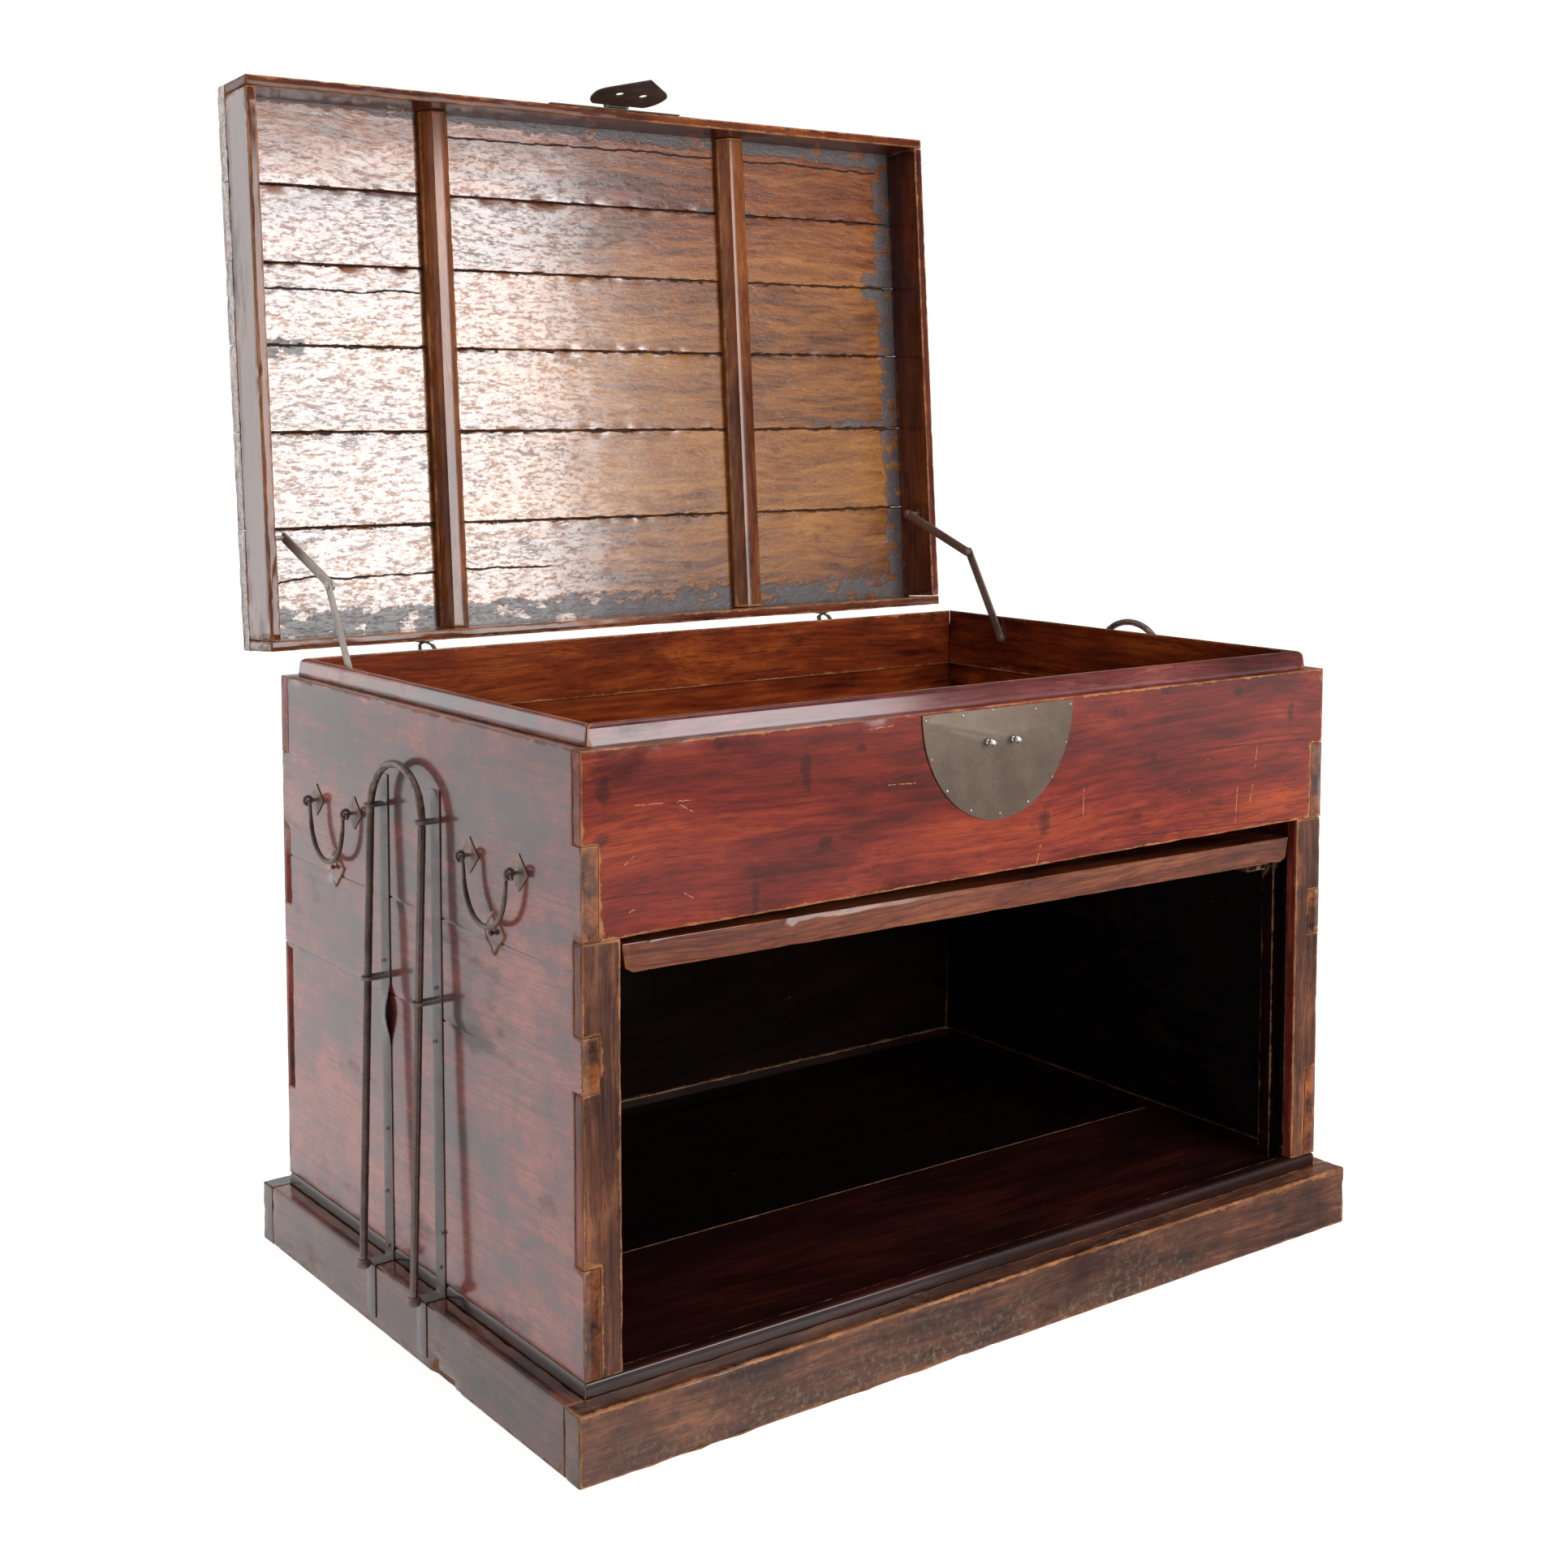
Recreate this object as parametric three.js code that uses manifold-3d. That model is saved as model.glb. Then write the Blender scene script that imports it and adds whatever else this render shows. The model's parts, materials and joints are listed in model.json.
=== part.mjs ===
import * as THREE from 'three';
import { mergeVertices } from 'three/addons/utils/BufferGeometryUtils.js';
import Module from 'manifold-3d';

// Ship chest (funa dansu) with a lift-up lid, a sliding front door and iron hardware.
// X runs right along the front, Y runs back, Z is up, all in millimetres.
// The body is modelled about the centre of its footprint on the floor.

// Carcass sizes
const bodyWidth = 1100;
const bodyDepth = 724;
const ledgeHeight = 723;
const sideThickness = 20;
const frontThickness = 16;
const backThickness = 20;
const frontBoardHeight = 191;
const stileWidth = 45;
const fingerShares = [0.18, 0.46, 0.55, 0.7, 0.85];
const plankLineDrops = [336, 223];
const plankLineDepth = 1.5;
const plankLineWidth = 2;
const edgeEasing = 2;

// Base sizes
const plinthHeight = 74;
const plinthSideThickness = 24;
const plinthFrontThickness = 30;
const sillRise = 16;
const baseFrameHeight = 30;
const baseFrameEasing = 5;
const floorThickness = 16;
const floorDrop = 12;
const floorJointShare = -0.1146;

// Coaming sizes, measured in from the outer faces and up from the ledge
const coamingInset = 16;
const coamingWidth = 10;
const coamingRise = 22;
const coamingDrop = 60;
const coamingShoulder = 14;
const coamingBulge = 1.5;

// Till and door guides
const tillThickness = 14;
const tillDepth = 173;
const doorGrooveWidth = 24;
const guideProud = 22;
const guideThickness = 19;
const guideDrop = 8;
const guideScoop = 5;
const runnerWidth = 56;
const runnerHeight = 20;
const leftRunnerDrop = 231;
const rightRunnerDrop = 244.5;

// Door, stored level under the till
const doorThickness = 30.5;
const doorOverlap = 23;
const doorSideGap = 6;
const doorSideSlope = 9;
const doorCorner = 5;
const doorSetback = 9;
const cleatWidth = 33;
const cleatLineDepth = 1;

// Lid sizes, with the lid closed
const lidRailThickness = 13.5;
const lidInnerDepth = 70;
const lidTopThickness = 23;
const lidJointShares = [-0.3301, -0.1906, -0.0428, 0.1133, 0.2859];
const lidOpenAngle = 94;
const hingeSetback = 26;
const battenHeight = 25;
const battenSide = 9;
const battenChamfer = 12;
const leftBattenShare = -0.2373;
const leftBattenWidth = 43;
const rightBattenShare = 0.2073;
const rightBattenWidth = 48;

// Lid hinges: an eye on the back holds a staple on the lid
const hingeShare = 0.3;
const hingeWireRadius = 3;
const hingeStapleWidth = 22;
const hingeEyeDrop = 18;
const hingeStapleRise = 16;

// Folding stays, with their pivots given for the closed lid
const stayWidth = 13;
const stayThickness = 3;
const stayInset = 3.8;
const stayPinRadius = 3;
const stayHeadRadius = 5;
const stayHeadHeight = 1.8;
const stayPinReach = 6;
const stayPlayGap = 1;
const lowerPivotSetback = 149;
const lowerPivotDrop = 10;
const upperPivotSetback = 143;
const upperPivotRise = 27;
const elbowSetback = 76;
const elbowRise = 115;

// Pole handles
const handleRodRadius = 4.25;
const handleHalfWidth = 64;
const handleArchDrop = 120;
const handleArchRise = 58;
const handleFootHeight = 75;
const handleFootRadius = 8.5;
const handleFootDepth = 10;
const handleFootEasing = 2.5;
const handleTopStandoff = 16.5;
const handlePlace = 10;
const rightHandleLift = 92;

// Strap irons with their staples
const strapWidth = 22;
const strapThickness = 1;
const strapTopDrop = 83;
const strapEndHeight = 12;
const stapleDrops = [316, 117];
const staplePlay = 0.8;
const stapleWireRadius = 2.2;

// Bails with their eye plates and strike plates
const bailShare = 0.2707;
const bailHalfWidth = 53;
const bailEyeDrop = 141;
const bailDrop = 65;
const bailRodRadius = 3;
const bailTipShare = 0.62;
const bailOverhang = 7;
const bailHookDrop = 6;
const bailBellyShare = 0.62;
const bailShoulderShare = 0.55;
const eyeStandoff = 12;
const eyeRingRadius = 4.9;
const eyeWireRadius = 2.2;
const eyePlateSize = 28;
const eyePlateThickness = 1;
const strikeDrop = 73;
const strikePlateSize = 34;
const strikeKnobRadius = 4;
const strikeKnobReach = 3.6;

// Lock plate, lid plate and hasp
const lockPlace = -5.5;
const lockHalfWidth = 113;
const lockDrop = 127;
const lockTopGap = 3;
const plateThickness = 1.5;
const lidPlateHalfWidth = 106;
const lidPlateRise = 84;
const studSpacing = 38;
const studDrop = 40;
const studReach = 14;
const studBaseRadius = 5;
const studWaistRadius = 2.6;
const studBallRadius = 4.4;
const haspThickness = 2;
const haspSwing = 11;
const haspHingeRise = 2;
const haspHoleRadius = 6;
const haspHalfWidth = 57;
const haspLength = 95;
const haspBarrelRadius = 3;
const haspBarrelWidth = 26;
const haspPinRadius = 1.6;
const haspPinOverhang = 7;
const haspKnuckleWidth = 5;
const haspNeckShare = 0.05;
const haspBaseShare = 0.72;
const haspShoulderShare = 0.16;
const haspWaistShare = 0.42;
const haspCornerShare = 0.55;
const haspTaperShare = 0.68;

// Clearances
const seatGap = 0.3;
const runningGap = 0.3;
const overrun = 2;
const weldDistance = 0.0001;

// Derived places
const halfWidth = bodyWidth / 2;
const halfDepth = bodyDepth / 2;
const sillTop = plinthHeight + sillRise;
const sideInner = halfWidth - sideThickness;
const frontInner = frontThickness - halfDepth;
const backInner = halfDepth - backThickness;
const frontBoardBottom = ledgeHeight - frontBoardHeight;
const baseFrameBottom = sillTop - baseFrameHeight;
const floorTop = sillTop - floorDrop;
const floorBottom = floorTop - floorThickness;
const tillTop = ledgeHeight - tillDepth;
const tillBottom = tillTop - tillThickness;
const hingeY = halfDepth + hingeSetback;
const hingeZ = ledgeHeight;
const lidSeat = ledgeHeight + seatGap;
const lidRailTop = lidSeat + lidInnerDepth;
const lidTopSeat = lidRailTop + seatGap;
const lidTop = lidTopSeat + lidTopThickness;
const lidInnerHalfDepth = halfDepth - lidRailThickness;
const plinthHalfDepth = halfDepth + plinthFrontThickness;
const stayHeight = ledgeHeight - lowerPivotDrop;
const haspStandoff = plateThickness + haspBarrelRadius + runningGap;
const hingeStapleRadius = hingeWireRadius - runningGap;
const hingeEyeRadius = hingeStapleRadius + runningGap + hingeWireRadius;
const stapleHalfWidth = handleRodRadius + staplePlay + stapleWireRadius;
const handleFootStandoff = plinthSideThickness + strapThickness + handleFootRadius + runningGap;

// Places tied to the body's own size
const plankLineHeights = plankLineDrops.map((drop) => ledgeHeight - drop);
const floorJointPlace = floorJointShare * bodyDepth;
const leftRunnerTop = ledgeHeight - leftRunnerDrop;
const rightRunnerTop = ledgeHeight - rightRunnerDrop;
const doorHeight = frontBoardBottom - sillTop + doorOverlap;
const lidJointPlaces = lidJointShares.map((share) => share * bodyDepth);
const leftBattenPlace = leftBattenShare * bodyWidth;
const rightBattenPlace = rightBattenShare * bodyWidth;
const hingePlace = hingeShare * bodyWidth;
const lowerPivotPlace = halfDepth - lowerPivotSetback;
const upperPivotPlace = halfDepth - upperPivotSetback;
const elbowPlace = halfDepth - elbowSetback;
const handleArchHeight = ledgeHeight - handleArchDrop;
const strapTopHeight = ledgeHeight - strapTopDrop;
const stapleHeights = stapleDrops.map((drop) => ledgeHeight - drop);
const bailOffset = bailShare * bodyDepth;
const bailEyeHeight = ledgeHeight - bailEyeDrop;

// Materials
const lacquer = { color: 0x6e2a1c, roughness: 0.42, metalness: 0 };
const sideLacquer = { color: 0x6b4a4c, roughness: 0.45, metalness: 0 };
const innerWood = { color: 0x7d3a1d, roughness: 0.4, metalness: 0 };
const darkWood = { color: 0x2e1512, roughness: 0.55, metalness: 0 };
const iron = { color: 0x37302e, roughness: 0.6, metalness: 0.7 };
const bronze = { color: 0x4a3527, roughness: 0.5, metalness: 0.75 };
const paleSteel = { color: 0x8d8478, roughness: 0.45, metalness: 0.8 };

const manifold = await Module();
manifold.setup();

// Turns any closed geometry into welded triangles that all face out.
function welded(geometry) {
  const bare = geometry.clone();
  bare.deleteAttribute('normal');
  bare.deleteAttribute('uv');
  const merged = mergeVertices(bare, weldDistance);
  const corners = Array.from(merged.index.array);
  const place = (index) => new THREE.Vector3().fromBufferAttribute(merged.attributes.position, index);
  const kept = [];
  let volume = 0;
  for (let i = 0; i < corners.length; i += 3) {
    const [a, b, c] = corners.slice(i, i + 3);
    if (a !== b && b !== c && c !== a) {
      kept.push([a, b, c]);
      volume += place(a).dot(place(b).cross(place(c)));
    }
  }
  merged.setIndex(kept.flatMap(([a, b, c]) => (volume < 0 ? [a, c, b] : [a, b, c])));
  return merged;
}

function toSolid(geometry) {
  const { attributes, index } = welded(geometry);
  const vertProperties = new Float32Array(attributes.position.array);
  const triVerts = new Uint32Array(index.array);
  return new manifold.Manifold(new manifold.Mesh({ numProp: 3, vertProperties, triVerts }));
}

function toGeometry(solid) {
  const { vertProperties, triVerts } = solid.getMesh();
  const geometry = new THREE.BufferGeometry();
  geometry.setAttribute('position', new THREE.BufferAttribute(vertProperties, 3));
  geometry.setIndex(new THREE.BufferAttribute(triVerts, 1));
  return geometry;
}

function fuse(first, ...others) {
  return toGeometry(others.reduce((solid, other) => solid.add(toSolid(other)), toSolid(first)));
}

function cut(first, ...cutters) {
  return toGeometry(cutters.reduce((solid, cutter) => solid.subtract(toSolid(cutter)), toSolid(first)));
}

function piece(name, geometry, finish) {
  const mesh = new THREE.Mesh(welded(geometry), new THREE.MeshStandardMaterial(finish));
  mesh.name = name;
  return mesh;
}

// Carries an outline's plane and its extrusion onto three chosen axes.
const axisX = new THREE.Vector3(1, 0, 0);
const axisY = new THREE.Vector3(0, 1, 0);
const axisZ = new THREE.Vector3(0, 0, 1);
const acrossX = new THREE.Matrix4().makeBasis(axisY, axisZ, axisX);
const acrossY = new THREE.Matrix4().makeBasis(axisX, axisZ, axisY.clone().negate());

function extrude(shape, depth, curveSegments = 6) {
  return new THREE.ExtrudeGeometry(shape, { depth, bevelEnabled: false, curveSegments });
}

// Outline in Y and Z, extruded from one X to another.
function extrudeX(shape, from, to, curveSegments) {
  return extrude(shape, to - from, curveSegments).applyMatrix4(acrossX).translate(from, 0, 0);
}

// Outline in X and Z, extruded from one Y to another.
function extrudeY(shape, from, to, curveSegments) {
  return extrude(shape, to - from, curveSegments).applyMatrix4(acrossY).translate(0, to, 0);
}

// Outline in X and Y, extruded from one Z to another.
function extrudeZ(shape, from, to, curveSegments) {
  return extrude(shape, to - from, curveSegments).translate(0, 0, from);
}

function outline(points) {
  return new THREE.Shape(points.map(([x, y]) => new THREE.Vector2(x, y)));
}

// Rectangle with each corner cut back by its own easing, from the lower left corner round.
function easedRectangle(left, bottom, right, top, easings) {
  const [lowLeft, lowRight, highRight, highLeft] = easings;
  const points = [
    [left, bottom + lowLeft], [left + lowLeft, bottom],
    [right - lowRight, bottom], [right, bottom + lowRight],
    [right, top - highRight], [right - highRight, top],
    [left + highLeft, top], [left, top - highLeft],
  ];
  const apart = ([x, y], i) => {
    const [nextX, nextY] = points[(i + 1) % points.length];
    return x !== nextX || y !== nextY;
  };
  return outline(points.filter(apart));
}

function block(x0, y0, z0, x1, y1, z1) {
  return extrudeZ(easedRectangle(x0, y0, x1, y1, [0, 0, 0, 0]), z0, z1);
}

// Round bar between two places.
function roundBar(from, to, radius, sides) {
  const length = from.distanceTo(to);
  const bar = new THREE.CylinderGeometry(radius, radius, length, sides);
  const turn = new THREE.Quaternion().setFromUnitVectors(axisY, to.clone().sub(from).normalize());
  const middle = from.clone().lerp(to, 0.5);
  return bar.applyQuaternion(turn).translate(middle.x, middle.y, middle.z);
}

function ball(radius, x, y, z, sides) {
  return new THREE.SphereGeometry(radius, sides, sides / 2).translate(x, y, z);
}

// Flat path lifted into space by a rule that gives each of its points a place.
class LiftedPath extends THREE.Curve {
  constructor(path, lift) {
    super();
    this.path = path;
    this.lift = lift;
  }

  getPoint(share, target = new THREE.Vector3()) {
    const { x, y } = this.path.getPoint(share);
    return target.copy(this.lift(x, y));
  }
}

// Wire along a curve. Its thickness follows a rule of the share of the way along.
function wire(curve, radius, steps, sides, thicknessAt = () => 1) {
  const section = new THREE.Shape().absarc(0, 0, radius, 0, 2 * Math.PI);
  const settings = { extrudePath: curve, steps, curveSegments: sides / 2, bevelEnabled: false };
  const tube = new THREE.ExtrudeGeometry(section, settings);
  const stations = curve.getSpacedPoints(steps);
  const { position } = tube.attributes;
  const vertex = new THREE.Vector3();
  for (let i = 0; i < position.count; i += 1) {
    vertex.fromBufferAttribute(position, i);
    const spans = stations.map((station) => station.distanceTo(vertex));
    const nearest = spans.indexOf(Math.min(...spans));
    vertex.sub(stations[nearest]).multiplyScalar(thicknessAt(nearest / steps)).add(stations[nearest]);
    position.setXYZ(i, vertex.x, vertex.y, vertex.z);
  }
  return tube;
}

// Heights where the corner fingers change hands.
const fingerLevels = [0, ...fingerShares, 1].map((share) => sillTop + share * (ledgeHeight - sillTop));

// Edge of a board at a corner, rising: its own fingers reach out and the others stop short.
function fingerEdge(reach, stop, bottom, top, own) {
  const points = [];
  for (let i = 0; i + 1 < fingerLevels.length; i += 1) {
    const low = Math.max(fingerLevels[i], bottom);
    const high = Math.min(fingerLevels[i + 1], top);
    const edge = i % 2 === own ? reach : stop;
    if (high > low) points.push([edge, low], [edge, high]);
  }
  return points;
}

function fingerBoard(leftEdge, rightEdge) {
  return outline([...rightEdge, ...leftEdge.toReversed()]);
}

const sideFingers = 0;
const frontFingers = 1;

// V-shaped line along a side's outer face, where two planks meet.
function plankLine(height) {
  const half = plankLineWidth / 2;
  const section = outline([
    [-halfWidth - overrun, height - half - overrun],
    [-halfWidth + plankLineDepth, height],
    [-halfWidth - overrun, height + half + overrun],
  ]);
  return extrudeY(section, -halfDepth - overrun, halfDepth + overrun);
}

// Square plate set on its corner against the left side's outer face.
function diamondPlate(size, thickness, y, z, sink = 0) {
  const reach = size / Math.SQRT2;
  const diamond = outline([[y - reach, z], [y, z - reach], [y + reach, z], [y, z + reach]]);
  return extrudeX(diamond, -halfWidth - thickness, -halfWidth + sink);
}

function strikePlate(y) {
  const z = bailEyeHeight - strikeDrop;
  const knobX = -halfWidth - eyePlateThickness - strikeKnobReach;
  const knob = ball(strikeKnobRadius, knobX, y, z, 8);
  return [diamondPlate(strikePlateSize, eyePlateThickness, y, z, eyePlateThickness), knob];
}

// Outer face cuts and irons are made for the left and turned half round for the right.
function sideBoard(side) {
  const front = fingerEdge(-halfDepth, frontInner, sillTop, ledgeHeight, sideFingers);
  const back = fingerEdge(halfDepth, backInner, sillTop, ledgeHeight, sideFingers);
  const [left, right] = [side * halfWidth, side * sideInner].sort((a, b) => a - b);
  const board = extrudeX(fingerBoard(front, back), left, right);
  const turn = side < 0 ? 0 : Math.PI;
  const lines = plankLineHeights.map((height) => plankLine(height).rotateZ(turn));
  const plates = [handlePlace - bailOffset, handlePlace + bailOffset].flatMap(strikePlate);
  return fuse(cut(board, ...lines), ...plates.map((plate) => plate.rotateZ(turn)));
}

// The back board holds the two hinge eyes that the lid's staples turn in.
function hingeEye(x) {
  const ring = new THREE.TorusGeometry(hingeEyeRadius, hingeWireRadius, 6, 12);
  ring.rotateY(Math.PI / 2).translate(x, hingeY, hingeZ);
  const root = new THREE.Vector3(x, halfDepth - overrun, hingeZ - hingeEyeDrop);
  const centre = new THREE.Vector3(x, hingeY, hingeZ);
  const tip = centre.clone().lerp(root, hingeEyeRadius / centre.distanceTo(root));
  return [ring, roundBar(root, tip, hingeWireRadius, 8)];
}

function backBoard() {
  const left = fingerEdge(-halfWidth, -sideInner, sillTop, ledgeHeight, frontFingers);
  const right = fingerEdge(halfWidth, sideInner, sillTop, ledgeHeight, frontFingers);
  const board = extrudeY(fingerBoard(left, right), backInner, halfDepth);
  return fuse(board, ...[-hingePlace, hingePlace].flatMap(hingeEye));
}

function frontBoard() {
  const left = fingerEdge(-halfWidth, -sideInner, frontBoardBottom, ledgeHeight, frontFingers);
  const right = fingerEdge(halfWidth, sideInner, frontBoardBottom, ledgeHeight, frontFingers);
  return extrudeY(fingerBoard(left, right), -halfDepth, frontInner);
}

function stile(side) {
  const inner = halfWidth - stileWidth;
  const outer = fingerEdge(side * halfWidth, side * sideInner, sillTop, frontBoardBottom, frontFingers);
  const post = [[side * inner, sillTop], ...outer, [side * inner, frontBoardBottom]];
  return extrudeY(outline(post), -halfDepth, frontInner);
}

// Moulding along one edge of the body, mitred at both ends.
// Its outline lies in inset from the outer face and height.
function mitredRail(section, halfLength, faceDistance, quarterTurns) {
  const rail = extrudeX(section, -halfLength, halfLength, 4);
  const { position } = rail.attributes;
  for (let i = 0; i < position.count; i += 1) {
    const inset = position.getY(i);
    const end = halfLength - inset - seatGap;
    position.setX(i, Math.sign(position.getX(i)) * end);
    position.setY(i, inset - faceDistance);
  }
  return rail.rotateZ(quarterTurns * Math.PI / 2);
}

// The coaming stands on the wall, bulges outward and drops inside it as the till's lining.
function coamingSection(wallThickness) {
  const crest = coamingInset + coamingWidth;
  const top = ledgeHeight + coamingRise;
  const shoulder = ledgeHeight + coamingShoulder;
  const section = new THREE.Shape();
  section.moveTo(coamingInset, ledgeHeight);
  section.lineTo(coamingInset + coamingBulge, shoulder);
  section.quadraticCurveTo(coamingInset + coamingBulge, top, crest, top);
  section.lineTo(crest, ledgeHeight - coamingDrop);
  section.lineTo(wallThickness, ledgeHeight - coamingDrop);
  if (wallThickness > coamingInset) section.lineTo(wallThickness, ledgeHeight);
  return section;
}

function coaming(wallThickness, halfLength, faceDistance, quarterTurns) {
  return mitredRail(coamingSection(wallThickness), halfLength, faceDistance, quarterTurns);
}

// The lining of the front and back coamings stops short of the side boards.
function longCoaming(wallThickness, quarterTurns) {
  const rail = coaming(wallThickness, halfWidth, halfDepth, quarterTurns);
  const bottom = ledgeHeight - coamingDrop - overrun;
  const ends = [-1, 1].map((side) => {
    const [left, right] = [side * (sideInner - seatGap), side * halfWidth].sort((a, b) => a - b);
    return block(left, -halfDepth, bottom, right, halfDepth, ledgeHeight);
  });
  return cut(rail, ...ends);
}

// Round hole for a stay's pin, through a board that faces the pin along X.
function pinHole(side, from, to, y, z) {
  const start = new THREE.Vector3(side * from, y, z);
  const end = new THREE.Vector3(side * to, y, z);
  return roundBar(start, end, stayPinRadius + runningGap, 16);
}

function sideCoaming(side) {
  const rail = coaming(sideThickness, halfDepth, halfWidth, side);
  const inner = halfWidth - coamingInset - coamingWidth;
  return cut(rail, pinHole(side, inner - overrun, inner + stayPinReach, lowerPivotPlace, stayHeight));
}

// The frame under the boards shows as a worn, rounded line above the plinth.
// A four-sided turning carries its outline round, and each corner then goes to its own place.
function baseFrame() {
  const edge = baseFrameEasing;
  const arc = [0, 1, 2, 3].map((step) => step / 3 * Math.PI / 2);
  const rounded = arc.map((angle) => [edge * (1 - Math.cos(angle)), sillTop - edge * (1 - Math.sin(angle))]);
  const inner = sideThickness;
  const section = [[0, baseFrameBottom], ...rounded, [inner, sillTop], [inner, baseFrameBottom]];
  const points = [...section, section[0]].map(([inset, z]) => new THREE.Vector2(halfWidth - inset, z));
  const loop = new THREE.LatheGeometry(points, 4);
  const corners = [[1, -1], [1, 1], [-1, 1], [-1, -1], [1, -1]];
  const { position } = loop.attributes;
  for (let i = 0; i < position.count; i += 1) {
    const { x, y: height } = points[i % points.length];
    const inset = halfWidth - x;
    const [signX, signY] = corners[Math.floor(i / points.length)];
    const wall = signY < 0 ? frontThickness : backThickness;
    position.setXYZ(i, signX * x, signY * (halfDepth - inset * wall / sideThickness), height);
  }
  return loop;
}

function floorBoard(front, back) {
  return block(-sideInner, front, floorBottom, sideInner, back, floorTop);
}

// The till's floor carries two short stops above the stored door.
function tillFloor() {
  const floor = block(-sideInner, frontInner, tillBottom, sideInner, backInner, tillTop);
  const stopFront = frontInner + doorGrooveWidth;
  const stopBottom = tillBottom - guideDrop;
  const stops = [-1, 1].map((side) => {
    const [left, right] = [side * sideInner, side * (sideInner - guideProud)].sort((a, b) => a - b);
    return block(left, stopFront, stopBottom, right, stopFront + guideThickness, tillBottom + overrun);
  });
  return fuse(floor, ...stops);
}

// A guide strip stands behind the stile, with a scooped head, and a runner goes back from it.
function doorGuide(side, runnerTop) {
  const stripFront = frontInner + doorGrooveWidth;
  const stripBack = stripFront + guideThickness;
  const head = runnerTop - guideDrop;
  const strip = new THREE.Shape();
  strip.moveTo(stripFront, floorTop);
  strip.lineTo(stripBack, floorTop);
  strip.lineTo(stripBack, head);
  strip.quadraticCurveTo((stripFront + stripBack) / 2, head - 2 * guideScoop, stripFront, head);
  const wall = side * sideInner;
  const stripInner = side * (sideInner - guideProud);
  const runnerInner = side * (sideInner - runnerWidth);
  const runnerBack = doorHeight - halfDepth + doorSetback;
  const post = extrudeX(strip, Math.min(wall, stripInner), Math.max(wall, stripInner), 4);
  const left = Math.min(wall, runnerInner);
  const right = Math.max(wall, runnerInner);
  const bottom = runnerTop - runnerHeight;
  const runner = block(left, stripBack - guideScoop, bottom, right, runnerBack, runnerTop);
  return fuse(post, runner);
}

// The door narrows towards its back face and keeps a line where each end cleat meets it.
function door() {
  const half = halfWidth - stileWidth - doorSideGap;
  const low = half - doorSideSlope;
  const section = outline([
    [-half, doorThickness], [-low - doorSideSlope / 2, doorCorner], [-low + doorCorner, 0],
    [low - doorCorner, 0], [low + doorSideSlope / 2, doorCorner], [half, doorThickness],
  ]);
  const board = extrudeY(section, 0, doorHeight);
  const lines = [-1, 1].flatMap((side) => [0, doorThickness].map((z) => {
    const x = side * (half - cleatWidth);
    const line = outline([
      [x - cleatLineDepth, z], [x, z - cleatLineDepth], [x + cleatLineDepth, z], [x, z + cleatLineDepth],
    ]);
    return extrudeY(line, -overrun, doorHeight + overrun);
  }));
  return cut(board, ...lines);
}

// Sits the door on both runners, so it leans when they stand at different heights.
function placeDoor(mesh) {
  const leftRest = sideInner - runnerWidth;
  const rightRest = halfWidth - stileWidth - doorSideGap;
  const slope = (leftRunnerTop - rightRunnerTop) / (leftRest + rightRest);
  mesh.position.set(0, doorSetback - halfDepth, leftRunnerTop + seatGap - slope * leftRest);
  mesh.rotation.y = Math.atan(slope);
  return mesh;
}

function plinthBoard(length, thickness) {
  const section = easedRectangle(0, 0, thickness, plinthHeight, [edgeEasing, 0, 0, edgeEasing]);
  return extrudeX(section, -length / 2, length / 2);
}

function halfRoundPlate(width, height, thickness) {
  const shape = new THREE.Shape();
  shape.absellipse(0, 0, width, height, 0, Math.PI, false);
  return extrudeY(shape, -thickness, 0, 24);
}

function stud() {
  const tip = studReach - studBallRadius;
  const ballPoints = [0, 1, 2, 3].map((step) => {
    const angle = step / 3 * Math.PI * 0.75 - Math.PI / 4;
    return [studBallRadius * Math.cos(angle), tip + studBallRadius * Math.sin(angle)];
  });
  const profile = [[0, -plateThickness / 2], [studBaseRadius, -plateThickness / 2], [studBaseRadius, 0],
    [studWaistRadius, tip / 2], ...ballPoints.slice(0, -1), [0, studReach]];
  const turned = new THREE.LatheGeometry(profile.map(([x, y]) => new THREE.Vector2(x, y)), 10);
  return turned.rotateX(Math.PI);
}

// Half-round plate below the ledge with the two studs that the hasp drops over.
function lockPlate() {
  const z = ledgeHeight - lockTopGap;
  const plate = halfRoundPlate(lockHalfWidth, lockDrop, plateThickness).rotateY(Math.PI);
  plate.translate(lockPlace, -halfDepth, z);
  const studs = [-1, 1].map((side) => {
    const x = lockPlace + side * studSpacing / 2;
    return stud().translate(x, -halfDepth - plateThickness, ledgeHeight - studDrop);
  });
  return fuse(plate, ...studs);
}

// Path of a staple in plan: out, round the rod and back.
function staplePath(reach, halfSpan) {
  const path = new THREE.Path();
  path.moveTo(0, -halfSpan);
  path.lineTo(reach, -halfSpan);
  path.absarc(reach, 0, halfSpan, -Math.PI / 2, Math.PI / 2, false);
  path.lineTo(0, halfSpan);
  return path;
}

function handleStandoff(z) {
  const [, topStaple] = stapleHeights;
  const slope = (handleFootStandoff - handleTopStandoff) / (topStaple - handleFootHeight);
  return handleTopStandoff + (topStaple - z) * slope;
}

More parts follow.
